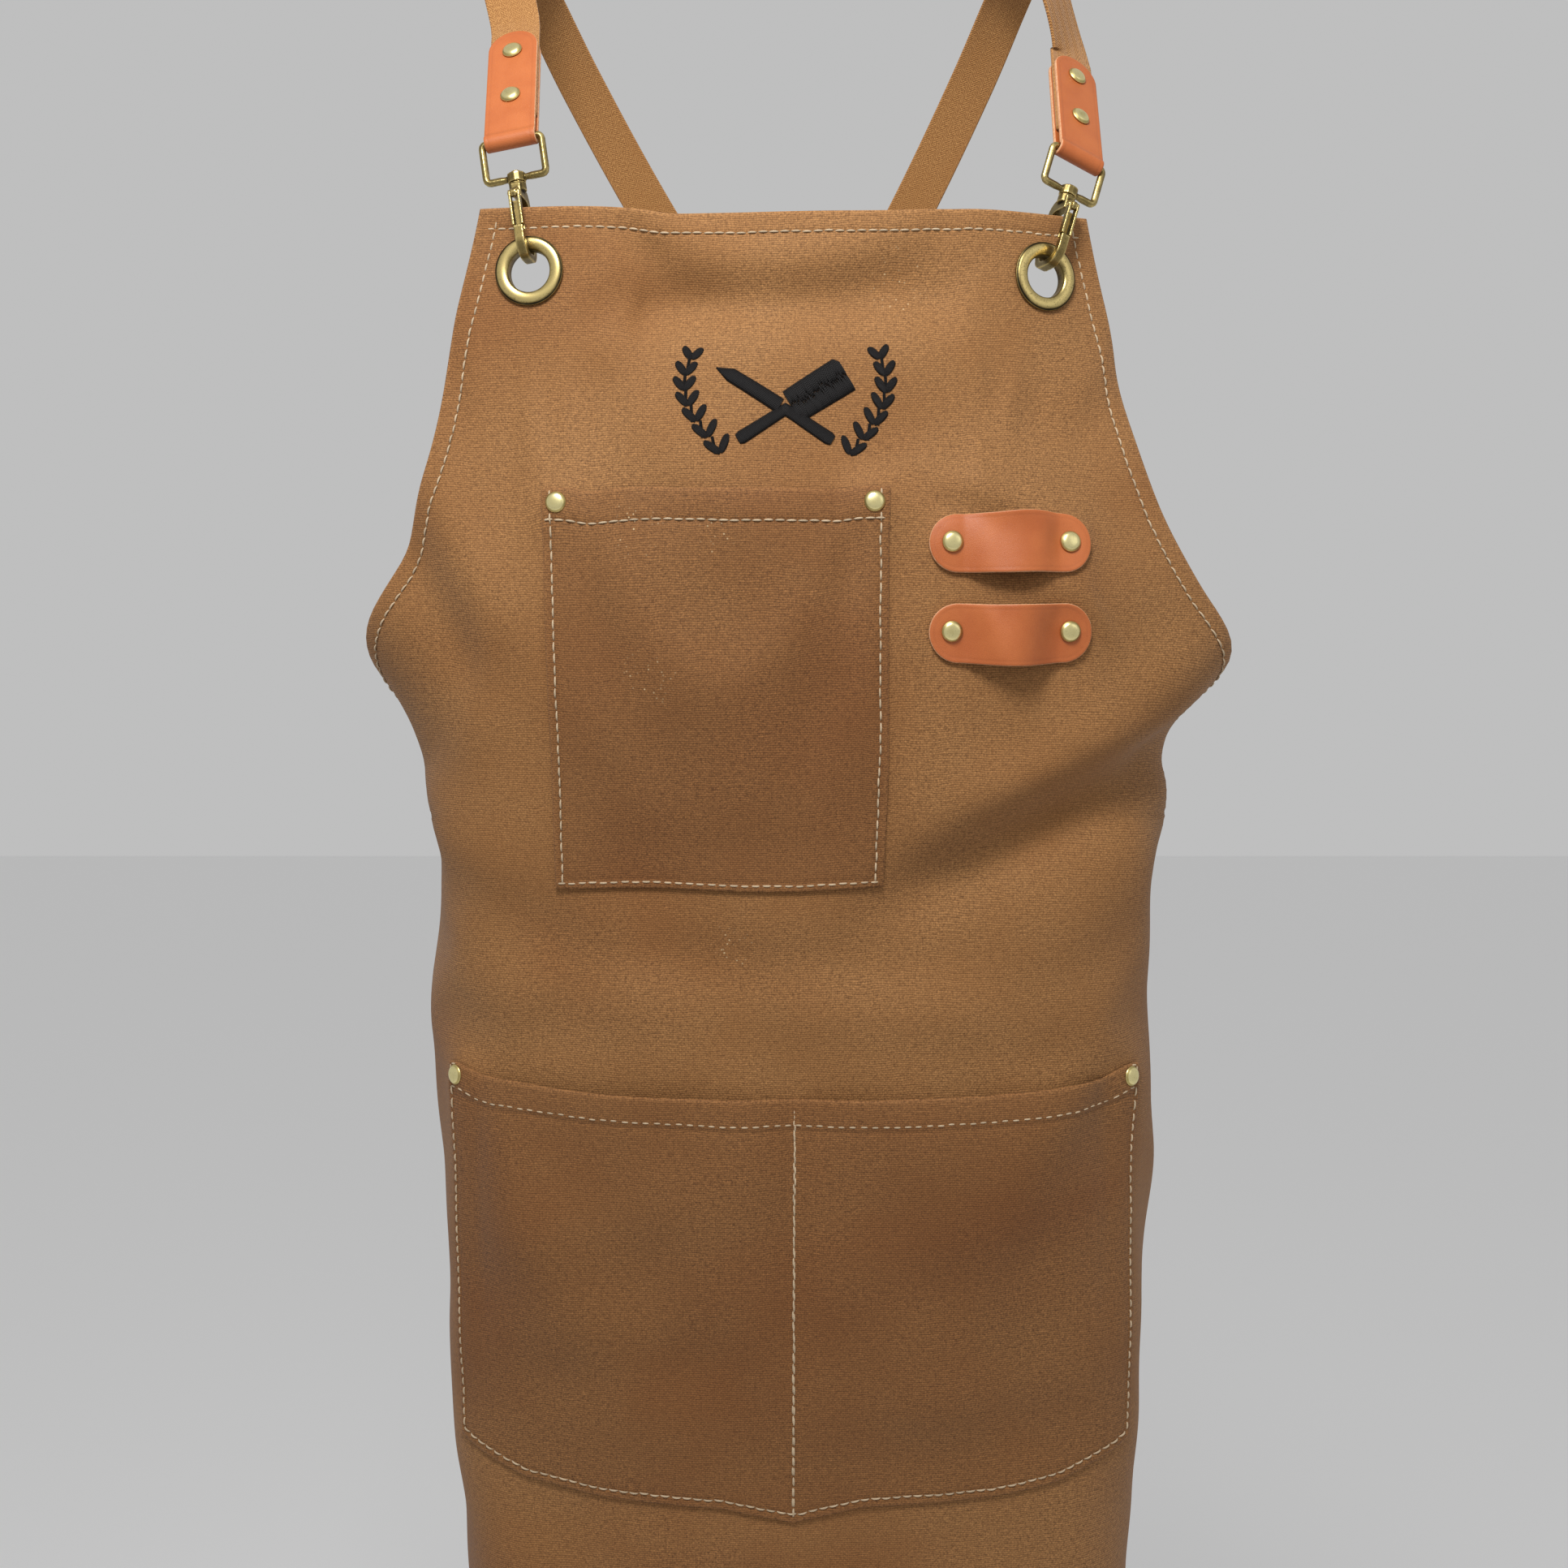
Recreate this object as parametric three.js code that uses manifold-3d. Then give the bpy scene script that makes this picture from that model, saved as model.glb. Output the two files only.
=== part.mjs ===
// A cross-back butcher apron as it hangs when worn: one canvas panel, two canvas pockets, two leather
// holders, and two webbing straps that clip to four eyelets with swivel snap hooks.
// Millimetres. +X is to the right seen from the front, the front faces -Y and +Z is up. The origin lies
// midway between the two points where the straps rest on the wearer's shoulders.
//
// Cloth pieces are drawn flat. Their u runs across the apron from its centre line, and their v runs down
// from the bib's top edge. The worn surface bends that flat cloth round the body without stretching it.
import * as THREE from "three";
import Module from "manifold-3d";
import { mergeVertices } from "three/addons/utils/BufferGeometryUtils.js";

const { Vector2, Vector3, Matrix4, MathUtils } = THREE;
const wasm = await Module();
wasm.setup();

// ---- Driving dimensions ----
const CLEARANCE = 0.3; // between pieces that touch
const CLOTH_SEAT = 0.45; // between layers on the curved cloth
const TIGHTEST_CURVE = 181.5; // radius of the cloth's tightest bend under an eyelet

const APRON_LENGTH = 860;
const APRON_HALF_WIDTH = 340;
const BIB_HALF_WIDTH = 148;
const ARMHOLE_DEPTH = 290; // from the bib's top edge down to the waist corner
const CANVAS = 1.2;

const BODY_FRONT = 112; // how far the cloth lies in front of the shoulders
const CHEST_SWELL = 20;
const CHEST_HEIGHT = 175; // down from the bib's top edge
const CHEST_SPREAD = 110;
const BELLY_SWELL = 8;
const CHEST_HALF_GIRTH = 232; // along the cloth, from the body's middle to its side
const WAIST_HALF_GIRTH = 180;
const HEM_HALF_GIRTH = 165;
const HIP_TO_BACK = 258; // along the cloth, to the turn towards the back
const BODY_TURN = 2.4; // how far the body's middle is from the apron's centre line
const FRONT_RADIUS = 900; // of the body's broad front
const SIDE_TURN = MathUtils.degToRad(80);
const SIDE_SHARPNESS = 8;
const BACK_TURN = MathUtils.degToRad(45);
const BACK_SHARPNESS = 22;
const WAIST_HEIGHTS = [185, 265]; // the body narrows between these, down from the bib's top edge
const HEM_HEIGHTS = [380, 700];
const BELLY_HEIGHTS = [340, 460];
const CORNER_TURN = MathUtils.degToRad(16); // the right bib corner turns away
const CORNER_REACH = [40, 100]; // across the cloth, where it starts and is complete
const CORNER_HEIGHTS = [50, 190];
const BIB_DROP = 152; // from the shoulders down to the bib's top edge

const CHEST_POCKET = { left: -117.5, right: 45.5, top: 132, height: 187, taper: 3, slack: 6.5 };
const LOWER_POCKET = { halfWidth: 178, top: 410, height: 187, point: 31, clip: 40, taper: 6, slack: 7 };
const POCKET_EDGE = 22; // lies flat along the sides
const POCKET_RIVET_INSET = 7.5;
const HOLDER = { left: 63.5, length: 77, width: 27, arch: 8.5, leather: 2.2 };
const HOLDER_HEIGHTS = [158, 199];
const HOLDER_RIVET_INSET = 10.5;

const EYELET = { bore: 10, barrel: 0.9, rim: 6.5, thickness: 1.9, lipRim: 4.2, lipThickness: 1.2 };
const WASHER = 0.9; // thickness
const EYELET_SIDES = 16;
const EYELET_INSET = { top: 30, bibSide: 24, waistSide: 18, waistTop: 28 };
const RIVET = { cap: 5, dome: 2.1, post: 1.5, burr: 3.8, burrThickness: 0.9 };

const WEBBING = { width: 25, thickness: 2 };
const TAB = { leather: 2.2, length: 76, rivets: [28, 61], tilt: MathUtils.degToRad(30) };
const WIRE = 1.6; // radius of the swivel loop's wire
const LOOP = { height: 18.6, corner: 2.1, sideGap: 0.5, boss: 4.4, bossHeight: 4.3 };
const HOOK = { opening: 14, arm: 3.6, width: 4.4, reach: 34, bend: 4.6, stem: 1.7, headRadius: 2.9 };
const CROWN = { top: -1, base: -7.5, front: -4.4, back: 4, collar: 4.2, shoulder: -11 };
const NOSE = { overlap: 2, step: 2, tip: 2.6 };
const GATE = { width: 5.4, groove: 3.2, tongue: 2.6, knuckle: 2.1, length: 17.6, gap: 0.2, wall: 1 };
const GATE_PIN = 1; // radius
const SPRING = { width: 2.4, thickness: 0.5, length: 11, drop: 10.5 };
const SLIDER = { bars: 13, plate: 2, railWidth: 3.3, endBar: 3, centreBar: 2.4, slack: 1.4, place: 58 };
const SLIDER_TILT = MathUtils.degToRad(28);
const STRAP_TAIL = 112; // from the rear loop's bar to the end of the turned-back strap

// ---- Colours ----
const finish = (color, roughness, metalness) => ({ color, roughness, metalness });
const CANVAS_FINISH = finish(0x8a6038, 0.75, 0);
const POCKET_FINISH = finish(0x7a5330, 0.75, 0);
const LEATHER_FINISH = finish(0xcf7a48, 0.6, 0);
const WEBBING_FINISH = finish(0xb98a52, 0.85, 0);
const BRASS_FINISH = finish(0x9c8a4e, 0.35, 1);
const STEEL_FINISH = finish(0x8d8a80, 0.4, 1);

const root = new THREE.Group();

// ---- Solids ----
function toSolid(geometry) {
  const bare = geometry.clone();
  bare.deleteAttribute("normal");
  bare.deleteAttribute("uv");
  const merged = mergeVertices(bare, 1e-4);
  return new wasm.Manifold(new wasm.Mesh({
    numProp: 3,
    vertProperties: new Float32Array(merged.attributes.position.array),
    triVerts: new Uint32Array(merged.index.array),
  }));
}

function toGeometry(solid) {
  const mesh = solid.getMesh();
  const geometry = new THREE.BufferGeometry();
  geometry.setAttribute("position", new THREE.BufferAttribute(new Float32Array(mesh.vertProperties), 3));
  geometry.setIndex(new THREE.BufferAttribute(new Uint32Array(mesh.triVerts), 1));
  geometry.computeVertexNormals();
  return geometry;
}

const join = (first, ...others) =>
  toGeometry(others.reduce((solid, other) => solid.add(toSolid(other)), toSolid(first)));

const cut = (first, ...others) =>
  toGeometry(others.reduce((solid, other) => solid.subtract(toSolid(other)), toSolid(first)));

const keepInside = (first, second) => toGeometry(toSolid(first).intersect(toSolid(second)));

function addMesh(name, geometry, look, matrix) {
  const mesh = new THREE.Mesh(geometry, new THREE.MeshStandardMaterial(look));
  mesh.name = name;
  if (matrix) mesh.applyMatrix4(matrix);
  root.add(mesh);
}

// A lathe turned about the local Z axis.
function turned(profile, segments) {
  const points = profile.map(([radius, height]) => new Vector2(radius, height));
  return new THREE.LatheGeometry(points, segments).rotateX(Math.PI / 2);
}

const rod = (radius, from, to, segments) =>
  turned([[0, from], [radius, from], [radius, to], [0, to]], segments);

// A rod along the local X axis, centred on it.
const crossRod = (radius, length, y, z, segments) =>
  rod(radius, -length / 2, length / 2, segments).rotateY(Math.PI / 2).translate(0, y, z);

// An outline in the local YZ plane, extruded along X and centred on it.
function sidePlate(shape, width, curveSegments = 5) {
  const plate = new THREE.ExtrudeGeometry(shape, { depth: width, bevelEnabled: false, curveSegments });
  plate.translate(0, 0, -width / 2);
  return plate.applyMatrix4(new Matrix4().makeBasis(
    new Vector3(0, 1, 0), new Vector3(0, 0, 1), new Vector3(1, 0, 0)));
}

const block = (x, y, z, centreX, centreY, centreZ) =>
  new THREE.BoxGeometry(x, y, z).translate(centreX, centreY, centreZ);

function outlineShape(points) {
  return new THREE.Shape(points.map(([x, y]) => new Vector2(x, y)));
}

// ---- The worn surface ----
function sideGirth(v) {
  const waist = MathUtils.smoothstep(v, ...WAIST_HEIGHTS);
  const hem = MathUtils.smoothstep(v, ...HEM_HEIGHTS);
  return CHEST_HALF_GIRTH + (WAIST_HALF_GIRTH - CHEST_HALF_GIRTH) * waist
    + (HEM_HALF_GIRTH - WAIST_HALF_GIRTH) * hem;
}

function heading(across, v) {
  const reach = Math.abs(across);
  const side = (reach / sideGirth(v)) ** SIDE_SHARPNESS;
  const back = (reach / HIP_TO_BACK) ** BACK_SHARPNESS;
  const outwards = MathUtils.smoothstep(across, ...CORNER_REACH);
  const corner = outwards * (1 - MathUtils.smoothstep(v, ...CORNER_HEIGHTS));
  return reach / FRONT_RADIUS + SIDE_TURN * side / (1 + side)
    + BACK_TURN * back / (1 + back) + CORNER_TURN * corner;
}

function frontDepth(v) {
  const chest = Math.exp(-(((v - CHEST_HEIGHT) / CHEST_SPREAD) ** 2));
  return BODY_FRONT + CHEST_SWELL * chest + BELLY_SWELL * MathUtils.smoothstep(v, ...BELLY_HEIGHTS);
}

const SECTION_STEPS = 96;

// Follows the body's horizontal section for this length of cloth.
function sectionPoint(across, v) {
  let x = 0;
  let y = 0;
  for (let i = 0; i < SECTION_STEPS; i++) {
    const angle = heading(across * (i + 0.5) / SECTION_STEPS, v);
    x += Math.cos(angle) * across / SECTION_STEPS;
    y += Math.sin(angle) * Math.abs(across) / SECTION_STEPS;
  }
  return [x, y];
}

function wornPoint(u, v) {
  const [x, y] = sectionPoint(u - BODY_TURN, v);
  const [middleX, middleY] = sectionPoint(-BODY_TURN, v);
  return new Vector3(x - middleX, y - middleY - frontDepth(v), -BIB_DROP - v);
}

// Outward normal, and the unit directions of growing u and of up along the cloth.
function wornFrame(u, v) {
  const step = 0.5;
  const right = wornPoint(u + step, v).sub(wornPoint(u - step, v)).normalize();
  const up = wornPoint(u, v - step).sub(wornPoint(u, v + step)).normalize();
  const normal = right.clone().cross(up).normalize();
  up.copy(normal).cross(right).normalize();
  return { point: wornPoint(u, v), normal, right, up };
}

function lines(from, to, step) {
  const count = Math.max(1, Math.round((to - from) / step));
  return Array.from({ length: count + 1 }, (_, i) => from + (to - from) * i / count);
}

// Where the worn surface has its facets' lines. They run just past the cloth's edges.
const PAST_EDGE = 2;
const FRONT_REACH = 140;
const FACET = { front: 35, side: 20, bib: 40, holders: 20, waist: 40, skirt: 80 };
const BANDS = [[-PAST_EDGE, FACET.bib], [120, FACET.holders], [220, FACET.waist], [300, FACET.skirt]];

const halfColumns = [
  ...lines(0, FRONT_REACH, FACET.front),
  ...lines(FRONT_REACH, APRON_HALF_WIDTH + PAST_EDGE, FACET.side).slice(1),
];
const COLUMNS = [...halfColumns.slice(1).reverse().map((u) => -u), ...halfColumns];
const ROWS = [-PAST_EDGE, ...BANDS.flatMap(([from, step], i) => {
  const to = i + 1 < BANDS.length ? BANDS[i + 1][0] : APRON_LENGTH + PAST_EDGE;
  return lines(from, to, step).slice(1);
})];

function makeGrid(columns, rows) {
  return { columns, rows, frames: rows.map((v) => columns.map((u) => wornFrame(u, v))) };
}
const WORN_GRID = makeGrid(COLUMNS, ROWS);

function cellOf(values, value) {
  let i = 0;
  while (i < values.length - 2 && value > values[i + 1]) i++;
  return [i, (value - values[i]) / (values[i + 1] - values[i])];
}

// A point at this height over the faceted worn surface. Each cell of the grid is two flat triangles.
function overGrid(grid, u, v, height) {
  const [i, s] = cellOf(grid.columns, u);
  const [j, t] = cellOf(grid.rows, v);
  const corner = (di, dj) => {
    const { point, normal } = grid.frames[j + dj][i + di];
    return point.clone().addScaledVector(normal, height);
  };
  const shares = t > s
    ? [[corner(0, 0), 1 - t], [corner(0, 1), t - s], [corner(1, 1), s]]
    : [[corner(0, 0), 1 - s], [corner(1, 0), s - t], [corner(1, 1), t]];
  return shares.reduce((sum, [at, share]) => sum.addScaledVector(at, share), new Vector3());
}

// A closed piece of cloth or leather: a flat outline, bent with the worn surface, between two heights.
// It is cut out of a slab whose facets are the grid's triangles. The slab is bowed, so that no two facets
// share a plane and all of the grid's lines stay, and each corner is then moved to its worn place.
function layer(outline, inner, outer, grid = WORN_GRID) {
  const { columns, rows } = grid;
  const bow = (u, v) => (u * u + v * v + u * v / 2) / 1000;
  const across = columns.length;
  const bowGrid = rows.map((v) => columns.map((u) => bow(u, v)));
  const positions = [];
  for (const lift of [1, 0]) {
    rows.forEach((v, j) => columns.forEach((u, i) => positions.push(u, -v, bowGrid[j][i] + lift)));
  }
  const count = across * rows.length;
  const index = [];
  const wall = (p, q) => index.push(q, p, q + count, p, p + count, q + count);
  for (let j = 0; j < rows.length - 1; j++) {
    for (let i = 0; i < across - 1; i++) {
      const a = j * across + i;
      for (const [p, q, r] of [[a, a + across, a + across + 1], [a, a + across + 1, a + 1]]) {
        index.push(p, q, r, p + count, r + count, q + count);
      }
      if (j === 0) wall(a + 1, a);
      if (j === rows.length - 2) wall(a + across, a + across + 1);
    }
    wall(j * across, (j + 1) * across);
    wall((j + 2) * across - 1, (j + 1) * across - 1);
  }
  const slab = new THREE.BufferGeometry();
  slab.setAttribute("position", new THREE.Float32BufferAttribute(positions, 3));
  slab.setIndex(index);
  const depth = bow(APRON_HALF_WIDTH, APRON_LENGTH) + 20;
  const shape = outlineShape(outline.map(([u, v]) => [u, -v]));
  const prism = new THREE.ExtrudeGeometry(shape, { depth, bevelEnabled: false }).translate(0, 0, -10);
  const piece = keepInside(slab, prism);
  const corners = piece.attributes.position;
  for (let k = 0; k < corners.count; k++) {
    const [u, v] = [corners.getX(k), -corners.getY(k)];
    const [i, s] = cellOf(columns, u);
    const [j, t] = cellOf(rows, v);
    const [near, far] = [bowGrid[j][i], bowGrid[j + 1][i + 1]];
    const low = t > s
      ? near * (1 - t) + bowGrid[j + 1][i] * (t - s) + far * s
      : near * (1 - s) + bowGrid[j][i + 1] * (s - t) + far * t;
    const height = corners.getZ(k) - low > 0.5 ? outer(u, v) : inner(u, v);
    corners.setXYZ(k, ...overGrid(grid, u, v, height).toArray());
  }
  return piece;
}

// A local frame on the cloth whose Z axis is the outward normal.
function clothMatrix(u, v, height = 0) {
  const { normal, right, up } = wornFrame(u, v);
  const place = overGrid(WORN_GRID, u, v, height);
  return new Matrix4().makeBasis(right, up, normal).setPosition(place);
}

const punch = (u, v, radius, sides = 10) => rod(radius, -12, 16, sides).applyMatrix4(clothMatrix(u, v));

// ---- Fasteners ----
// The shoulder under the cap is at z = 0 and the burr lies below the layers that it holds.
function rivetGeometry(grip) {
  const { cap, dome, post, burr, burrThickness } = RIVET;
  return turned([
    [0, -grip - burrThickness], [burr, -grip - burrThickness], [burr, -grip], [post, -grip],
    [post, 0], [cap, 0], [cap * 0.82, dome * 0.6], [cap * 0.45, dome * 0.92], [0, dome],
  ], 8);
}

const halfCanvas = CANVAS / 2;
const rivetHole = RIVET.post + CLEARANCE;
const pocketBack = halfCanvas + CLOTH_SEAT;
const clothRivets = [];

function addClothRivet(name, u, v, stackTop) {
  const top = stackTop + CLOTH_SEAT;
  const grip = top + halfCanvas + CLOTH_SEAT;
  addMesh(name, rivetGeometry(grip), BRASS_FINISH, clothMatrix(u, v, top));
  clothRivets.push([u, v]);
}

// ---- Pockets ----
function addChestPocket() {
  const { left, right, top, height, taper, slack } = CHEST_POCKET;
  const outline = [[left, top], [right, top], [right - taper, top + height], [left + taper, top + height]];
  const lift = (u, v) => {
    const across = (u - (left + right) / 2) / ((right - left) / 2 - POCKET_EDGE);
    const down = MathUtils.clamp((v - top) / (height - POCKET_EDGE), 0, 1);
    return slack * Math.max(0, 1 - across ** 4) * (1 - down ** 2);
  };
  const inner = (u, v) => pocketBack + lift(u, v);
  const outer = (u, v) => inner(u, v) + CANVAS;
  const inset = POCKET_RIVET_INSET;
  const rivets = [[left + inset, top + inset], [right - inset, top + inset]];
  ["left", "right"].forEach((side, i) => {
    const [u, v] = rivets[i];
    addClothRivet(`chest_pocket_rivet_${side}`, u, v, outer(u, v));
  });
  const holes = rivets.map(([u, v]) => punch(u, v, rivetHole));
  addMesh("chest_pocket", cut(layer(outline, inner, outer), ...holes), POCKET_FINISH);
}

function addLowerPocket() {
  const { halfWidth, top, height, point, clip, taper, slack } = LOWER_POCKET;
  const low = top + height;
  // The bottom edge falls towards the middle: how far across, and the share of the point's depth there.
  const fall = [[halfWidth - clip - taper, 0.52], [halfWidth - 2 * clip, 0.68], [halfWidth * 0.19, 0.77]];
  const rightHalf = [
    [halfWidth, top], [halfWidth - taper, low], ...fall.map(([u, share]) => [u, low + point * share]),
  ];
  const leftHalf = rightHalf.map(([u, v]) => [-u, v]).reverse();
  const outline = [...rightHalf, [0, low + point], ...leftHalf];
  const lift = (u, v) => {
    const middle = (halfWidth - POCKET_EDGE) / 2;
    const across = (Math.abs(u) - middle) / middle;
    const down = MathUtils.clamp((v - top) / height, 0, 1);
    return slack * Math.max(0, 1 - across ** 4) * (1 - down ** 2);
  };
  const inner = (u, v) => pocketBack + lift(u, v);
  const outer = (u, v) => inner(u, v) + CANVAS;
  const inset = POCKET_RIVET_INSET;
  const rivets = [[-halfWidth + inset, top + inset], [halfWidth - inset, top + inset]];
  ["left", "right"].forEach((side, i) => {
    const [u, v] = rivets[i];
    addClothRivet(`lower_pocket_rivet_${side}`, u, v, outer(u, v));
  });
  const holes = rivets.map(([u, v]) => punch(u, v, rivetHole));
  addMesh("lower_pocket", cut(layer(outline, inner, outer), ...holes), POCKET_FINISH);
}

// ---- Leather holders: strips with round ends, riveted at both ends and arched between ----
function addHolder(place, height) {
  const { left, length, width, arch, leather } = HOLDER;
  const radius = width / 2;
  const outline = [];
  for (const [centre, start] of [[left + length - radius, 0], [left + radius, Math.PI]]) {
    for (let k = 0; k <= 6; k++) {
      const angle = start - Math.PI / 2 + Math.PI * k / 6;
      outline.push([centre + radius * Math.cos(angle), height + radius * Math.sin(angle)]);
    }
  }
  const middle = left + length / 2;
  const span = length / 2 - HOLDER_RIVET_INSET - RIVET.cap;
  const inner = (u) => {
    const share = Math.min(1, Math.abs(u - middle) / span);
    return pocketBack + arch * Math.cos(share * Math.PI / 2) ** 1.5;
  };
  const outer = (u) => inner(u) + leather;
  const grid = makeGrid(
    lines(left - 1, left + length + 1, 6), lines(height - radius - 1, height + radius + 1, 9));
  const rivets = [["inner", left + HOLDER_RIVET_INSET], ["outer", left + length - HOLDER_RIVET_INSET]];
  for (const [side, u] of rivets) {
    addClothRivet(`${place}_holder_rivet_${side}`, u, height, outer(u));
  }
  const holes = rivets.map(([, u]) => punch(u, height, rivetHole));
  addMesh(`${place}_leather_holder`, cut(layer(outline, inner, outer, grid), ...holes), LEATHER_FINISH);
}

// ---- Eyelets ----
const eyeletPlaces = [];

function addEyelet(place, u, v) {
  const { bore, barrel, rim, thickness, lipRim, lipThickness } = EYELET;
  const flange = bore + rim;
  const lip = bore + lipRim;
  const seat = flange ** 2 / (2 * TIGHTEST_CURVE); // so that the flange's rim clears the curved cloth
  const front = halfCanvas + seat;
  const washerTop = -halfCanvas - seat;
  const lipTop = washerTop - WASHER - CLEARANCE;
  const outside = bore + barrel;
  const lipEnd = lipTop - lipThickness;
  const round = 0.8;
  const eyelet = turned([
    [bore, lipTop - lipThickness / 2], [bore + round, lipEnd], [lip - round, lipEnd], [lip, lipTop],
    [outside, lipTop], [outside, front], [flange, front], [flange - 1.4, front + thickness * 0.8],
    [flange - rim / 2, front + thickness], [bore + 1, front + thickness * 0.6], [bore, front],
    [bore, lipTop - lipThickness / 2],
  ], EYELET_SIDES);
  const hole = outside + CLEARANCE;
  const washerEdge = flange - 1;
  const ring = turned([
    [hole, washerTop - WASHER], [washerEdge, washerTop - WASHER], [washerEdge, washerTop],
    [hole, washerTop], [hole, washerTop - WASHER],
  ], EYELET_SIDES);
  addMesh(`${place}_eyelet`, eyelet, BRASS_FINISH, clothMatrix(u, v));
  addMesh(`${place}_eyelet_washer`, ring, BRASS_FINISH, clothMatrix(u, v));
  eyeletPlaces.push([u, v, hole]);
}

// ---- The canvas panel ----
function addPanel() {
  const edge = new THREE.CatmullRomCurve3([
    [BIB_HALF_WIDTH, 0], [BIB_HALF_WIDTH + 16, 61], [BIB_HALF_WIDTH + 30, 122],
    [BIB_HALF_WIDTH + 48, 163], [BIB_HALF_WIDTH + 76, 200],
    [APRON_HALF_WIDTH - 72, ARMHOLE_DEPTH - 44], [APRON_HALF_WIDTH - 24, ARMHOLE_DEPTH - 9],
    [APRON_HALF_WIDTH, ARMHOLE_DEPTH],
  ].map(([u, v]) => new Vector3(u, v, 0)));
  const armhole = edge.getPoints(21).map(({ x, y }) => [x, y]);
  const right = [...armhole, [APRON_HALF_WIDTH, APRON_LENGTH]];
  const outline = [...right, ...right.map(([u, v]) => [-u, v]).reverse()];
  const slab = layer(outline, () => -halfCanvas, () => halfCanvas);
  const holes = clothRivets.map(([u, v]) => punch(u, v, rivetHole));
  const bores = eyeletPlaces.map(([u, v, radius]) => punch(u, v, radius, EYELET_SIDES));
  addMesh("apron_panel", cut(slab, ...holes, ...bores), CANVAS_FINISH);
}

// ---- Snap hooks. Their frame: Z runs up the strap, Y points in towards the body, X lies across, and the
// origin is where the swivel leaves the hook. ----
const SEAT_IN_HOLE = 1.6; // from the hole's edge to the hook that hangs in it
const HOOK_SETBACK = 0.5; // the hook's opening is this far in front of the cloth's middle
const BAR_HEIGHT = CLEARANCE + LOOP.bossHeight / 2 + LOOP.height;

function clipMatrix(u, v, lean) {
  const { normal, right, up } = wornFrame(u, v);
  const z = up.clone().multiplyScalar(Math.cos(lean)).addScaledVector(right, Math.sin(lean));
  const y = normal.clone().negate();
  const x = y.clone().cross(z);
  const centre = overGrid(WORN_GRID, u, v, HOOK_SETBACK);
  centre.addScaledVector(z, EYELET.bore - SEAT_IN_HOLE + HOOK.reach);
  return new Matrix4().makeBasis(x, y, z).setPosition(centre);
}

// A closed ring of round wire through points that lie in the local XZ plane.
function wireRing(points, radius, sides) {
  const positions = [];
  const count = points.length;
  points.forEach((point, i) => {
    const ahead = points[(i + 1) % count].clone().sub(point).normalize();
    const behind = point.clone().sub(points[(i + count - 1) % count]).normalize();
    const along = ahead.clone().add(behind).normalize();
    const mitre = 1 / Math.sqrt((1 + ahead.dot(behind)) / 2);
    const outward = new Vector3(along.z, 0, -along.x).multiplyScalar(mitre);
    for (let k = 0; k < sides; k++) {
      const angle = (k + 0.5) * 2 * Math.PI / sides;
      const at = point.clone().addScaledVector(outward, radius * Math.cos(angle));
      positions.push(at.x, at.y + radius * Math.sin(angle), at.z);
    }
  });
  const index = [];
  for (let i = 0; i < count; i++) {
    for (let k = 0; k < sides; k++) {
      const a = i * sides + k;
      const b = i * sides + (k + 1) % sides;
      const c = ((i + 1) % count) * sides + k;
      const d = ((i + 1) % count) * sides + (k + 1) % sides;
      index.push(a, b, c, b, d, c);
    }
  }
  const geometry = new THREE.BufferGeometry();
  geometry.setAttribute("position", new THREE.Float32BufferAttribute(positions, 3));
  geometry.setIndex(index);
  return geometry;
}

function swivelLoopGeometry() {
  const { corner, boss, bossHeight } = LOOP;
  const half = WEBBING.width / 2 + LOOP.sideGap + WIRE;
  const low = CLEARANCE + bossHeight / 2;
  const centres = [
    [half - corner, low + corner, -90], [half - corner, BAR_HEIGHT - corner, 0],
    [corner - half, BAR_HEIGHT - corner, 90], [corner - half, low + corner, 180],
  ];
  const points = centres.flatMap(([x, z, start]) => [0, 30, 60, 90].map((turn) => {
    const angle = MathUtils.degToRad(start + turn);
    return new Vector3(x + corner * Math.cos(angle), 0, z + corner * Math.sin(angle));
  }));
  const eye = rod(boss, CLEARANCE, CLEARANCE + bossHeight, 12);
  const bore = rod(HOOK.stem + CLEARANCE, -1, BAR_HEIGHT / 2, 12);
  return cut(join(wireRing(points, WIRE, 6), eye), bore);
}

const PIVOT = { y: -(HOOK.opening + HOOK.arm + GATE.gap) / 2, z: CROWN.base };
const pinHole = GATE_PIN + CLEARANCE;

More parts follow.
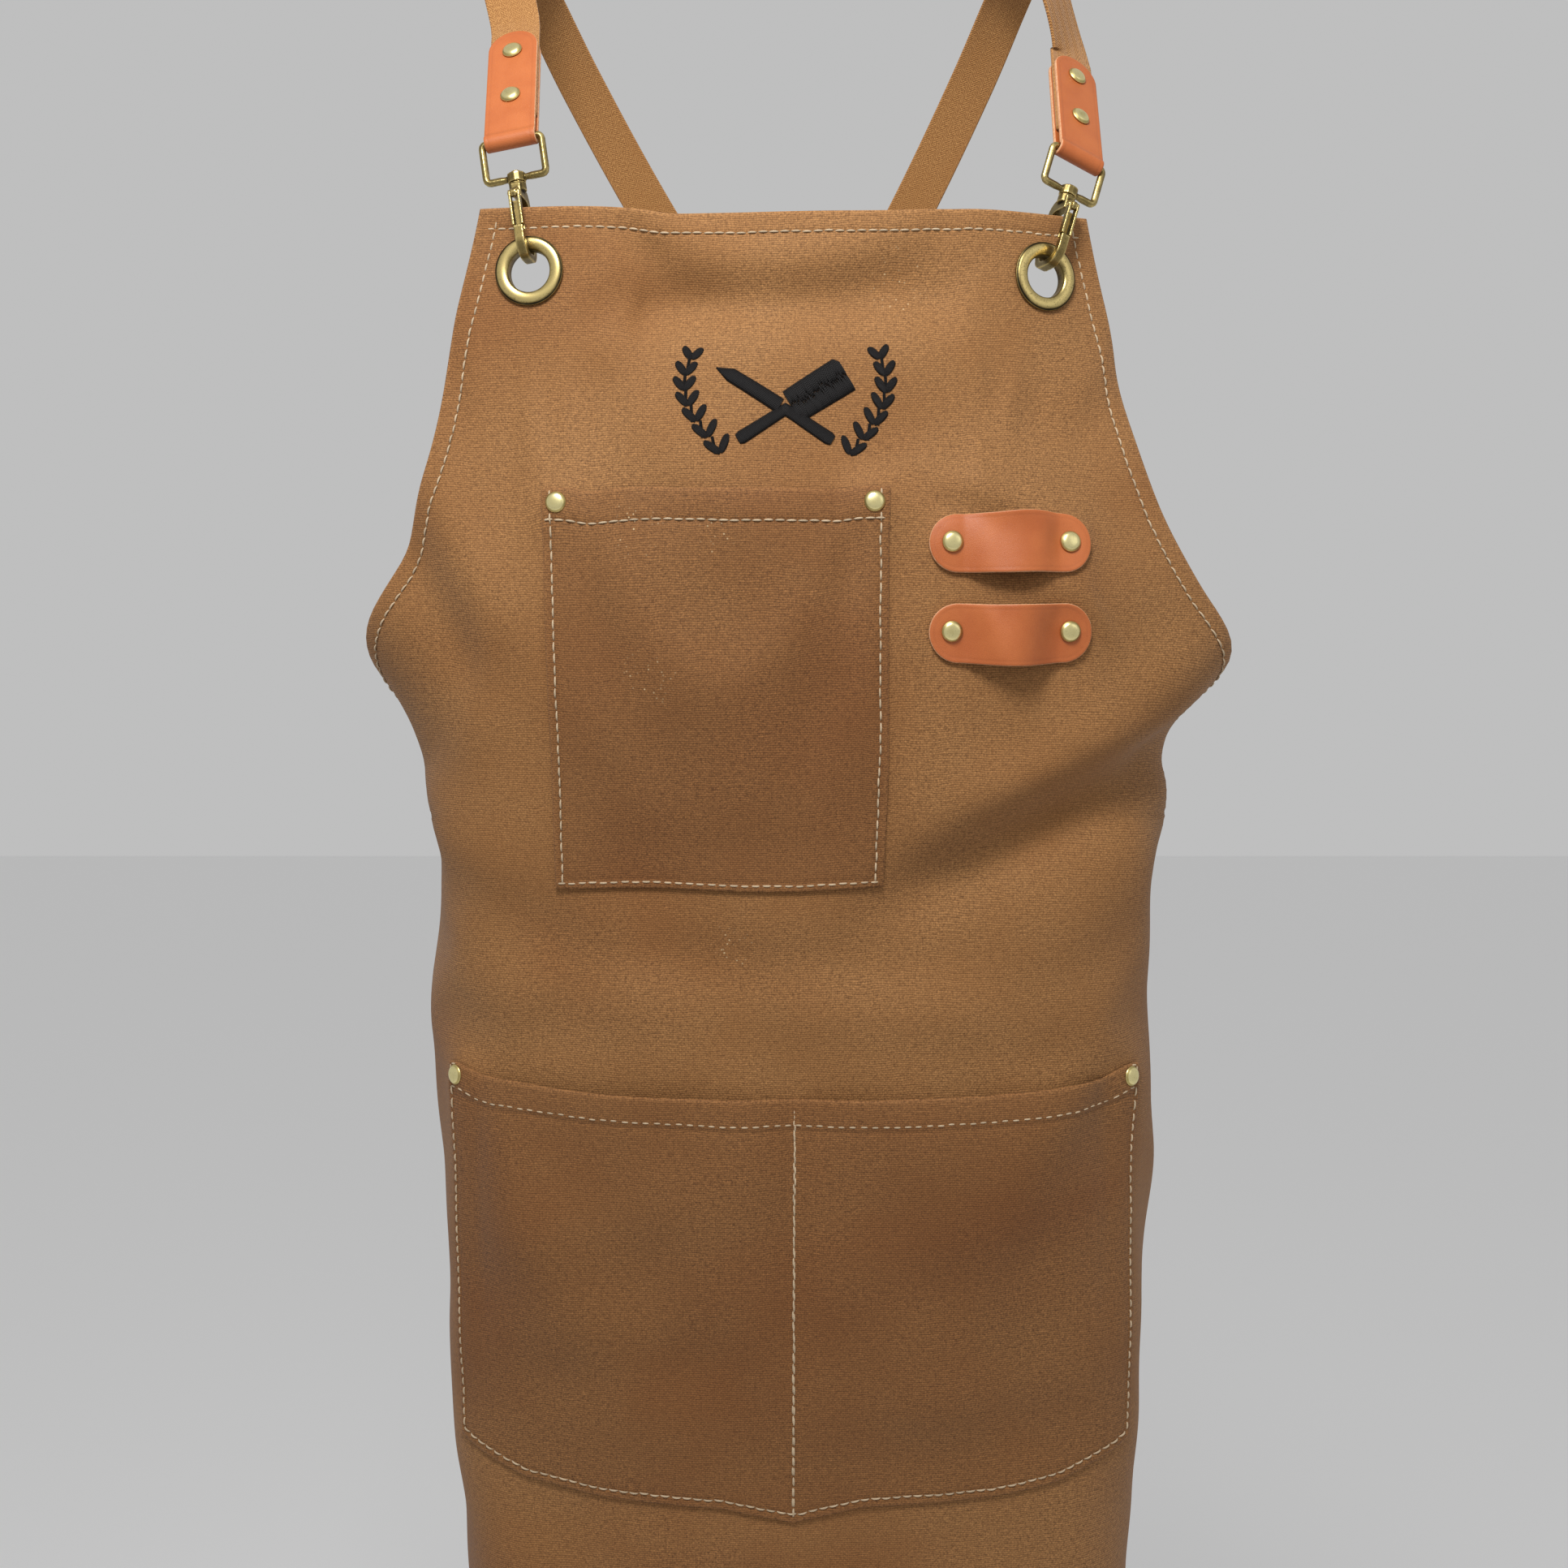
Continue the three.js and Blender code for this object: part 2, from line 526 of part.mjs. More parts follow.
function hookBodyGeometry() {
  const { opening, arm, width, reach, bend, stem, headRadius } = HOOK;
  const inside = opening / 2;
  const outside = inside + arm;
  const bendTop = -reach + bend;
  const flat = inside - bend;
  const bendOutside = bend + arm;
  const noseTip = PIVOT.z - GATE.length + NOSE.overlap;
  const noseEnd = noseTip - NOSE.tip;
  const shape = new THREE.Shape();
  shape.moveTo(CROWN.front, CROWN.top);
  shape.lineTo(CROWN.back, CROWN.top);
  shape.quadraticCurveTo(outside, 2 * CROWN.top, outside, CROWN.shoulder);
  shape.lineTo(outside, bendTop);
  shape.absarc(flat, bendTop, bendOutside, 0, -Math.PI / 2, true);
  shape.absarc(-flat, bendTop, bendOutside, -Math.PI / 2, -Math.PI, true);
  shape.lineTo(-outside, noseTip);
  shape.lineTo(-outside + NOSE.step, noseTip);
  shape.lineTo(-outside + NOSE.step, noseEnd);
  shape.lineTo(-inside, noseEnd);
  shape.lineTo(-inside, bendTop);
  shape.absarc(-flat, bendTop, bend, Math.PI, Math.PI * 1.5, false);
  shape.absarc(flat, bendTop, bend, Math.PI * 1.5, 2 * Math.PI, false);
  shape.lineTo(inside, CROWN.shoulder - 1);
  shape.quadraticCurveTo(inside, CROWN.base - 0.5, CROWN.back - 1, CROWN.base);
  shape.lineTo(CROWN.front, CROWN.base);
  shape.closePath();
  const tongueBack = CROWN.front + 1.4;
  const knuckle = GATE.knuckle;
  const tongue = new THREE.Shape();
  tongue.moveTo(tongueBack, -3);
  tongue.lineTo(tongueBack, CROWN.base);
  tongue.lineTo(PIVOT.y, PIVOT.z - knuckle);
  tongue.absarc(PIVOT.y, PIVOT.z, knuckle, -Math.PI / 2, -Math.PI * 1.5, true);
  tongue.closePath();
  const collar = rod(CROWN.collar, -4, 0, 12);
  const headBase = 2 * CLEARANCE + LOOP.bossHeight;
  const neck = rod(stem, CROWN.top, headBase + 0.2, 10);
  const head = turned([
    [0, headBase], [headRadius, headBase], [headRadius - 0.3, headBase + 0.7], [0, headBase + 1.2],
  ], 10);
  const body = join(sidePlate(shape, width), sidePlate(tongue, GATE.tongue), collar, neck, head);
  return cut(body, crossRod(pinHole, 20, PIVOT.y, PIVOT.z, 10));
}

const GATE_BACK = -HOOK.opening / 2 - GATE.gap;

function gateGeometry() {
  const { width, groove, length, wall } = GATE;
  const front = -(HOOK.opening / 2 + HOOK.arm);
  const end = PIVOT.z - length;
  const step = end + NOSE.overlap + 0.4;
  const stepBack = front + NOSE.step + CLEARANCE;
  const shape = new THREE.Shape();
  shape.moveTo(GATE_BACK, PIVOT.z);
  shape.lineTo(GATE_BACK, end);
  shape.lineTo(stepBack, end);
  shape.lineTo(stepBack, step);
  shape.lineTo(front, step);
  shape.lineTo(front, PIVOT.z);
  shape.absarc((front + GATE_BACK) / 2, PIVOT.z, (GATE_BACK - front) / 2, Math.PI, 0, true);
  shape.closePath();
  const channelDepth = 5;
  const channel = block(groove, channelDepth, 2 * length, 0, GATE_BACK - wall - channelDepth / 2, PIVOT.z);
  const slot = block(groove, 12, 8, 0, PIVOT.y, PIVOT.z + 0.7);
  const bore = crossRod(pinHole, 20, PIVOT.y, PIVOT.z, 10);
  return cut(sidePlate(shape, width), channel, slot, bore);
}

function gateSpringGeometry() {
  const { width, thickness, length, drop } = SPRING;
  const middle = GATE_BACK + CLEARANCE + thickness / 2;
  return block(width, thickness, length, 0, middle, PIVOT.z - drop);
}

function addClip(place, matrix) {
  addMesh(`${place}_swivel_loop`, swivelLoopGeometry(), BRASS_FINISH, matrix);
  addMesh(`${place}_hook`, hookBodyGeometry(), BRASS_FINISH, matrix);
  addMesh(`${place}_gate`, gateGeometry(), BRASS_FINISH, matrix);
  const pin = crossRod(GATE_PIN, GATE.width + 0.4, PIVOT.y, PIVOT.z, 8);
  addMesh(`${place}_gate_pin`, pin, STEEL_FINISH, matrix);
  addMesh(`${place}_gate_spring`, gateSpringGeometry(), STEEL_FINISH, matrix);
}

// ---- Leather tabs. Their frame: Z runs up the tab from the loop's bar, Y points in to the body. ----
const foldGap = WEBBING.thickness / 2 + CLEARANCE;
const tabFace = foldGap + TAB.leather;

function barMatrix(clip, tilt) {
  const lift = new Matrix4().makeTranslation(0, 0, BAR_HEIGHT);
  return clip.clone().multiply(lift).multiply(new Matrix4().makeRotationX(-tilt));
}

function tabGeometry() {
  const bulb = WIRE + CLEARANCE;
  const thick = bulb + TAB.leather;
  const outerStart = Math.asin(tabFace / thick);
  const innerStart = Math.asin(foldGap / bulb);
  const arc = (radius, start, sign) => Array.from({ length: 13 }, (_, k) => {
    const angle = start + (2 * Math.PI - 2 * start) * k / 12;
    return [sign * radius * Math.sin(angle), radius * Math.cos(angle)];
  });
  const outline = [
    [tabFace, TAB.length], ...arc(thick, outerStart, 1), [-tabFace, TAB.length],
    [-foldGap, TAB.length], ...arc(bulb, innerStart, -1), [foldGap, TAB.length],
  ];
  const half = WEBBING.width / 2;
  const face = new THREE.Shape();
  face.moveTo(-half, -10);
  face.lineTo(half, -10);
  face.lineTo(half, TAB.length - half);
  face.absarc(0, TAB.length - half, half, 0, Math.PI, false);
  face.closePath();
  const front = new THREE.ExtrudeGeometry(face, { depth: 20, bevelEnabled: false, curveSegments: 6 });
  front.rotateX(Math.PI / 2).translate(0, 10, 0);
  return keepInside(sidePlate(outlineShape(outline), 60), front);
}

const tabHole = (height) => rod(rivetHole, -10, 10, 10).rotateX(Math.PI / 2).translate(0, 0, height);

// ---- Webbing: a flat strip through sections, each with a centre and its width and thickness directions ----
function strip(sections) {
  const positions = [];
  const halfWidth = WEBBING.width / 2;
  const halfThickness = WEBBING.thickness / 2;
  for (const { centre, across, out } of sections) {
    for (const [x, y] of [[-1, -1], [1, -1], [1, 1], [-1, 1]]) {
      const corner = centre.clone().addScaledVector(across, x * halfWidth);
      positions.push(...corner.addScaledVector(out, y * halfThickness).toArray());
    }
  }
  const index = [];
  for (let i = 0; i < sections.length - 1; i++) {
    for (let k = 0; k < 4; k++) {
      const a = i * 4 + k;
      const b = i * 4 + (k + 1) % 4;
      index.push(a, b, a + 4, b, b + 4, a + 4);
    }
  }
  const last = (sections.length - 1) * 4;
  index.push(0, 2, 1, 0, 3, 2, last, last + 1, last + 2, last, last + 2, last + 3);
  const geometry = new THREE.BufferGeometry();
  geometry.setAttribute("position", new THREE.Float32BufferAttribute(positions, 3));
  geometry.setIndex(index);
  const solid = toSolid(geometry);
  return solid.volume() > 0 ? geometry : flipped(geometry);
}

function flipped(geometry) {
  const index = Array.from(geometry.index.array);
  for (let i = 0; i < index.length; i += 3) [index[i], index[i + 1]] = [index[i + 1], index[i]];
  geometry.setIndex(index);
  return geometry;
}

const FOLD_RADIUS = WIRE + CLEARANCE + WEBBING.thickness / 2;
const STRAIGHT_RUN = STRAP_TAIL + 10;

function strapSections(front, rear, shoulderX, backDepth) {
  const axesOf = (matrix) => {
    const [x, y, z] = [new Vector3(), new Vector3(), new Vector3()];
    matrix.extractBasis(x, y, z);
    return { x, y, z, bar: new Vector3().setFromMatrixPosition(matrix) };
  };
  const a = axesOf(front);
  const b = axesOf(rear);
  const onTab = (t) => a.bar.clone().addScaledVector(a.z, t);
  const onRear = (t, side) =>
    b.bar.clone().addScaledVector(b.z, t).addScaledVector(b.y, side * FOLD_RADIUS);
  const over = [
    [[1, -36, -10], [0, -0.5, 0.87]], [[0.98, 0, 1], [0, 0, 1]], [[0.93, 36, -9], [0, 0.5, 0.87]],
    [[0.8, 66, -45], [0, 0.87, 0.5]], [[0.5, 92, -120], [0, 0.97, 0.2]], [[0, backDepth, -228], [0, 1, 0]],
  ];
  const outFront = a.y.clone().negate();
  const outRear = b.y.clone().negate();
  const route = new THREE.CatmullRomCurve3([
    onTab(TAB.length - 24), onTab(TAB.length + 6),
    ...over.map(([[x, y, z]]) => new Vector3(x * shoulderX, y, z)),
    onRear(STRAIGHT_RUN, 1), onRear(STRAIGHT_RUN - 30, 1),
  ]);
  const normals = new THREE.CatmullRomCurve3([
    outFront, outFront, ...over.map(([, normal]) => new Vector3(...normal)), outRear, outRear,
  ]);
  const last = route.points.length - 1;
  const sections = [{ centre: onTab(14), across: a.x, out: outFront }];
  const steps = 40;
  for (let i = 0; i <= steps; i++) {
    const t = (1 + (last - 2) * i / steps) / last;
    const along = route.getTangent(t);
    const across = along.clone().cross(normals.getPoint(t)).normalize();
    sections.push({ centre: route.getPoint(t), across, out: across.clone().cross(along) });
  }
  const across = b.x.clone().negate();
  for (let k = 0; k <= 8; k++) {
    const angle = Math.PI * k / 8;
    const out = b.y.clone().multiplyScalar(-Math.cos(angle)).addScaledVector(b.z, Math.sin(angle));
    sections.push({ centre: b.bar.clone().addScaledVector(out, -FOLD_RADIUS), across, out });
  }
  sections.push({ centre: onRear(STRAP_TAIL, -1), across, out: b.y });
  return sections;
}

function sliderGeometry() {
  const { bars, plate, railWidth, endBar, centreBar, slack } = SLIDER;
  const slotWidth = WEBBING.width + slack;
  const slotLength = bars - (endBar + centreBar) / 2;
  const frame = block(slotWidth + 2 * railWidth, plate, 2 * bars + endBar, 0, 0, 0);
  const slots = [-1, 1].map((side) =>
    block(slotWidth, plate * 3, slotLength, 0, 0, side * (centreBar + slotLength) / 2));
  return cut(frame, ...slots);
}

// Each strap runs from its front tab over the same shoulder and across the back to the other waist corner.
const WAIST_LEAN = MathUtils.degToRad(27);
const REAR_TILT = MathUtils.degToRad(14);
const { top, bibSide, waistSide, waistTop } = EYELET_INSET;
const SIDES = [
  { side: "left", sign: -1, lean: MathUtils.degToRad(-9), shoulderX: -146, backDepth: 99 },
  { side: "right", sign: 1, lean: MathUtils.degToRad(20), shoulderX: 126, backDepth: 107 },
];

addChestPocket();
addLowerPocket();
["upper", "lower"].forEach((place, i) => addHolder(place, HOLDER_HEIGHTS[i]));

const frontClips = {};
const rearClips = {};
for (const { side, sign, lean } of SIDES) {
  const bib = [sign * (BIB_HALF_WIDTH - bibSide), top];
  const waist = [sign * (APRON_HALF_WIDTH - waistSide), ARMHOLE_DEPTH + waistTop];
  addEyelet(`bib_${side}`, ...bib);
  addEyelet(`waist_${side}`, ...waist);
  frontClips[side] = clipMatrix(...bib, lean);
  rearClips[side] = clipMatrix(...waist, sign * WAIST_LEAN);
  addClip(`bib_${side}`, frontClips[side]);
  addClip(`waist_${side}`, rearClips[side]);
}
addPanel();

for (const { side, shoulderX, backDepth } of SIDES) {
  const other = side === "left" ? "right" : "left";
  const tab = barMatrix(frontClips[side], TAB.tilt);
  const rear = barMatrix(rearClips[other], REAR_TILT);
  addMesh(`${side}_leather_tab`, cut(tabGeometry(), ...TAB.rivets.map(tabHole)), LEATHER_FINISH, tab);
  const names = ["lower", "upper"];
  TAB.rivets.forEach((height, i) => {
    const outward = new Matrix4().makeRotationX(Math.PI / 2);
    outward.setPosition(0, -tabFace - CLEARANCE, height);
    const geometry = rivetGeometry(2 * (tabFace + CLEARANCE));
    addMesh(`${side}_tab_rivet_${names[i]}`, geometry, BRASS_FINISH, tab.clone().multiply(outward));
  });
  const holes = TAB.rivets.map((height) => tabHole(height).applyMatrix4(tab));
  const webbing = strip(strapSections(tab, rear, shoulderX, backDepth));
  addMesh(`${side}_webbing_strap`, cut(webbing, ...holes), WEBBING_FINISH);
  const slide = new Matrix4().makeTranslation(0, 0, SLIDER.place);
  const turn = new Matrix4().makeRotationX(SLIDER_TILT);
  const sliderPlace = rear.clone().multiply(slide).multiply(turn);
  addMesh(`${side}_strap_slider`, sliderGeometry(), BRASS_FINISH, sliderPlace);
}

export default root;
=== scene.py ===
"""A waxed canvas butcher apron as it hangs when worn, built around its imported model.

The cloth is drawn flat, in millimetres: u runs across the apron from its centre line and v runs down from
the bib's top edge. worn() bends it round the wearer's body as the model does, and cloth() adds its folds.
"""

import math

import bpy
import numpy as np
from mathutils import Matrix, Vector


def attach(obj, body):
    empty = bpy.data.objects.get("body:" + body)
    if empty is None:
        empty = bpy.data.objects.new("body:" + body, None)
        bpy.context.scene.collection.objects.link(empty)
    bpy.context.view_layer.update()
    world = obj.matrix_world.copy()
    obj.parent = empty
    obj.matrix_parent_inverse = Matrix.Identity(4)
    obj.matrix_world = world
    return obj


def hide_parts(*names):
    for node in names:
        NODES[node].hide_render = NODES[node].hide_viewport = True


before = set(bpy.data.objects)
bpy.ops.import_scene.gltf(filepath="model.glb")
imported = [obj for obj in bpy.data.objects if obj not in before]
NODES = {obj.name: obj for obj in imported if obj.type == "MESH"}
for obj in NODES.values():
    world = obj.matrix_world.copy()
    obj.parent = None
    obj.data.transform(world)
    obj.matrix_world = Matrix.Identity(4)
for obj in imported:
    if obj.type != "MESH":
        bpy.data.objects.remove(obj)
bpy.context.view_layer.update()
BODY = "apron"
MM = 0.001
rng = np.random.default_rng(7)

# ---- Camera ----
CAMERA_PLACE = (-0.0038, -1.0, -0.3616)
CAMERA_PITCH = -4
CAMERA_LENS, CAMERA_SENSOR = 42.8, 36


def make_camera():
    camera = bpy.data.objects.new("camera", bpy.data.cameras.new("camera"))
    camera.data.sensor_width = CAMERA_SENSOR
    camera.data.lens = CAMERA_LENS
    camera.location = CAMERA_PLACE
    camera.rotation_euler = (math.radians(90 + CAMERA_PITCH), 0, 0)
    bpy.context.scene.collection.objects.link(camera)
    bpy.context.scene.camera = camera


# ---- Sizes, in millimetres, as the model has them ----
LENGTH = 860
HALF_WIDTH = 340
BIB = 148
ARMHOLE = 290
HALF_CANVAS = 0.6
LAYER = 1.05  # from the cloth's middle to the back of a layer on it
BIB_DROP = 152
BODY_TURN = 2.4
BODY_DEPTH, CHEST_SWELL, BELLY_SWELL = 112, 20, 8
CHEST = {"left": -117.5, "right": 45.5, "top": 132, "height": 187, "taper": 3, "slack": 6.5}
LOWER = {"half": 178, "top": 410, "height": 187, "point": 31, "clip": 40, "slack": 7, "sag": 9}
POCKET_EDGE = 22
POCKET_RIVET = 7.5
HOLDER = {"left": 63.5, "length": 77, "width": 27, "arch": 8.5, "leather": 2.2, "rivet": 10.5}
HOLDER_HEIGHTS = {"upper": 158, "lower": 199}
EYELETS = {"bib": (124, 30), "waist": (322, 318)}
EYELET_HOLE = 11.5
WEBBING_WIDTH, WEBBING_THICK, WEBBING_RADIUS = 25, 2, 0.9
WIRE = 1.6
BAR_HEIGHT = 21.05
PIVOT = (0, -8.9, -7.5)
TAB = {"length": 76, "leather": 2.2, "tilt": math.radians(30)}
REAR_TILT = math.radians(14)
STRAP_TAIL = 112
HEM_STITCH = 9.5  # from the edge to the stitch line
HEM_FOLD = 12.4  # from the edge to the end of the turned-in cloth

STRAPS = {
    "left": {"shoulder": -146, "depth": 99, "front": "bib_left", "rear": "waist_right"},
    "right": {"shoulder": 126, "depth": 107, "front": "bib_right", "rear": "waist_left"},
}


def smoothstep(x, low, high):
    """0 up to low, 1 from high, and a smooth rise between."""
    t = np.clip((x - low) / (high - low), 0, 1)
    return t * t * (3 - 2 * t)


def near(x, middle, reach):
    """1 in the middle, and falling to 0 beyond this reach."""
    return np.exp(-(((x - middle) / reach) ** 2))


def run_along(points):
    """How far along a line each of its points is."""
    steps = np.linalg.norm(np.diff(points, axis=0), axis=1)
    return np.concatenate([[0], np.cumsum(steps)])


def unit(a):
    return a / np.linalg.norm(a, axis=-1, keepdims=True)


def spline(points, count):
    """count points along a centripetal Catmull-Rom curve, as the model's curves are."""
    at = np.linspace(0, len(points) - 1, count)
    return np.array([spline_at(points, t) for t in at])


def spline_at(points, t):
    points = np.asarray(points, float)
    i = min(int(t), len(points) - 2)
    t -= i
    before = points[i - 1] if i > 0 else 2 * points[0] - points[1]
    after = points[i + 2] if i + 2 < len(points) else 2 * points[-1] - points[-2]
    p = [before, points[i], points[i + 1], after]
    d0, d1, d2 = (max(np.sum((p[k + 1] - p[k]) ** 2) ** 0.25, 1e-4) for k in range(3))
    start = ((p[1] - p[0]) / d0 - (p[2] - p[0]) / (d0 + d1) + (p[2] - p[1]) / d1) * d1
    end = ((p[2] - p[1]) / d1 - (p[3] - p[1]) / (d1 + d2) + (p[3] - p[2]) / d2) * d1
    c2 = -3 * p[1] + 3 * p[2] - 2 * start - end
    c3 = 2 * p[1] - 2 * p[2] + start + end
    return p[1] + start * t + c2 * t**2 + c3 * t**3


ARMHOLE_EDGE = spline(
    [(BIB, 0), (BIB + 16, 61), (BIB + 30, 122), (BIB + 48, 163), (BIB + 76, 200),
     (HALF_WIDTH - 72, ARMHOLE - 44), (HALF_WIDTH - 24, ARMHOLE - 9), (HALF_WIDTH, ARMHOLE)],
    200,
)


def half_width(v):
    """How far the cloth reaches to each side at this height."""
    return np.interp(v, ARMHOLE_EDGE[:, 1], ARMHOLE_EDGE[:, 0])


def edge_slant(v):
    """How much longer a cut across the hem is than the hem is wide, where the edge slants."""
    v = np.asarray(v, float)
    slope = np.mean([(half_width(v + d + 3) - half_width(v + d - 3)) / 6 for d in (-6, -3, 0, 3, 6)], 0)
    return np.sqrt(1 + slope**2)


# ---- The worn surface ----
FRONT_RADIUS = 900  # the front is nearly flat
SIDE_TURN, BACK_TURN, CORNER_TURN = (math.radians(degrees) for degrees in (80, 45, 16))
# From the middle to where the cloth turns at the side, and to where it turns again behind.
BIB_REACH, WAIST_REACH, SKIRT_REACH, BACK_REACH = 232, 180, 165, 258


def heading(across, v):
    """The angle that the cloth has turned through at this distance from its middle."""
    reach = np.abs(across)
    to_waist, to_skirt = smoothstep(v, 185, 265), smoothstep(v, 380, 700)
    girth = BIB_REACH + (WAIST_REACH - BIB_REACH) * to_waist + (SKIRT_REACH - WAIST_REACH) * to_skirt
    side, back = (reach / girth) ** 8, (reach / BACK_REACH) ** 22
    corner = (across > 0) * smoothstep(reach, 40, 100) * (1 - smoothstep(v, 50, 190))
    return (reach / FRONT_RADIUS + SIDE_TURN * side / (1 + side)
            + BACK_TURN * back / (1 + back) + CORNER_TURN * corner)


def section(across, v, steps=96):
    """The cloth's outline round the wearer at this height, by adding up short steps along its heading."""
    x, y = np.zeros_like(across), np.zeros_like(across)
    for i in range(steps):
        angle = heading(across * (i + 0.5) / steps, v)
        x += np.cos(angle) * across / steps
        y += np.sin(angle) * np.abs(across) / steps
    return x, y


def worn_point(u, v):
    """Points of the worn surface in mm, with the cloth's middle over the wearer's."""
    x, y = section(u - BODY_TURN, v)
    middle_x, middle_y = section(np.full_like(u, -BODY_TURN), v, 8)
    depth = BODY_DEPTH + CHEST_SWELL * near(v, 175, 110) + BELLY_SWELL * smoothstep(v, 340, 460)
    return np.stack([x - middle_x, y - middle_y - depth, -BIB_DROP - v], -1)


def worn(u, v):
    """Points of the worn surface and its outward normals."""
    right = worn_point(u + 0.5, v) - worn_point(u - 0.5, v)
    down = worn_point(u, v + 0.5) - worn_point(u, v - 0.5)
    return worn_point(u, v), unit(np.cross(down, right))


# ---- Folds ----
FOLD_DEPTH = 1.35
EYELET_HOLD, RIVET_HOLD = 40, 12  # how far around them they hold the cloth to its place
POCKET_GRIP, HOLDER_GRIP = 2.7, 3.7  # from the cloth's middle to the caps of the rivets on it


def cloth_rivets():
    """Each rivet through the cloth: its node, its place on the cloth and the height of its cap."""
    found = []
    for pocket, left, right, top in (
        ("chest", CHEST["left"], CHEST["right"], CHEST["top"]),
        ("lower", -LOWER["half"], LOWER["half"], LOWER["top"]),
    ):
        for side, u in (("left", left + POCKET_RIVET), ("right", right - POCKET_RIVET)):
            found.append((f"{pocket}_pocket_rivet_{side}", u, top + POCKET_RIVET, POCKET_GRIP))
    for place, height in HOLDER_HEIGHTS.items():
        for side, along in (("inner", HOLDER["rivet"]), ("outer", HOLDER["length"] - HOLDER["rivet"])):
            found.append((f"{place}_holder_rivet_{side}", HOLDER["left"] + along, height, HOLDER_GRIP))
    return found


HARDWARE = [(side * u, v, EYELET_HOLD) for u, v in EYELETS.values() for side in (-1, 1)]
HARDWARE += [(u, v, RIVET_HOLD) for _, u, v, _ in cloth_rivets()]

# Each soft fold: where it starts and ends on the cloth, its half width and its height.
FOLDS = [
    ((236, 196), (62, 292), 20, 6.5),
    ((232, 238), (44, 330), 17, -8.0),
    ((-95, 44), (95, 40), 15, -4.2),
    ((200, 300), (70, 372), 20, 2.2),
    ((-118, 52), (-24, 40), 13, -2.4),
    ((28, 34), (98, 26), 12, -2.0),
    ((-60, 70), (70, 66), 22, 1.6),
    ((-176, 128), (-132, 208), 13, 2.2),
    ((-196, 150), (-150, 226), 12, -2.0),
    ((-215, 300), (-90, 352), 18, -2.2),
    ((-210, 262), (-130, 330), 20, 2.0),
    ((-150, 372), (140, 384), 14, 1.6),
    ((-120, 350), (110, 358), 12, -1.2),
    ((-150, 500), (-40, 470), 20, 1.6),
    ((30, 520), (140, 490), 18, -1.5),
    ((-140, 560), (-30, 548), 16, -1.3),
    ((40, 575), (150, 560), 16, 1.4),
]
# Slow waves all over the cloth: how many millimetres a wave takes across and down, its height and start.
WAVES = [
    (190, 260, 0.9, 0.3), (-130, 170, 0.7, 1.9), (88, -240, 0.5, 4.1), (-72, 96, 0.35, 2.6),
    (300, 61, 0.3, 5.2),
]
FLARE = {"start": 610, "end": 840, "pitch": 112, "height": 4.2}  # the skirt's waves, which grow downwards


def free(u, v):
    """0 where hardware holds the cloth to its place, and 1 away from it."""
    share = np.ones_like(u)
    for at_u, at_v, reach in HARDWARE:
        share *= 1 - np.exp(-((((u - at_u) ** 2 + (v - at_v) ** 2) / reach**2) ** 1.5))
    return share


def folds(u, v):
    """How far the folds, the slow waves and the skirt's flare stand out from the worn surface."""
    total = sum(height * np.sin(2 * math.pi * (u / across + v / down) + start)
                for across, down, height, start in WAVES)
    for (a, b), (c, d), width, height in FOLDS:
        length = math.hypot(c - a, d - b)
        along = ((u - a) * (c - a) + (v - b) * (d - b)) / length**2
        off = ((u - a) * (d - b) - (v - b) * (c - a)) / length
        ends = smoothstep(along, -0.2, 0.25) * (1 - smoothstep(along, 0.75, 1.2))
        total = total + height * near(off, 0, width) * ends
    skirt = np.sin(2 * math.pi * u / FLARE["pitch"] + 0.9 + v / 260) * (1 + 0.4 * np.sin(u / 61))
    total = total + FLARE["height"] * skirt * smoothstep(v, FLARE["start"], FLARE["end"])
    return FOLD_DEPTH * total * free(u, v)


# ---- The settled cloth: a short simulation gives the small buckles ----
SETTLE_STEP = 10
SETTLE_CAP = 4.0
SETTLE_FRAMES = 30
settled = None


def settle_grid():
    """The coarse grid that is simulated, in u and v."""
    shares = np.linspace(-1, 1, 2 * HALF_WIDTH // SETTLE_STEP + 1)
    rows = np.linspace(0, LENGTH, LENGTH // SETTLE_STEP + 1)
    v, share = np.meshgrid(rows, shares, indexing="ij")
    return share * half_width(v), v


def grid_quads(rows, columns):
    """The four corners of each cell of a grid, as point numbers."""
    at = np.arange(rows * columns).reshape(rows, columns)
    return np.stack([at[:-1, :-1], at[1:, :-1], at[1:, 1:], at[:-1, 1:]], -1).reshape(-1, 4)


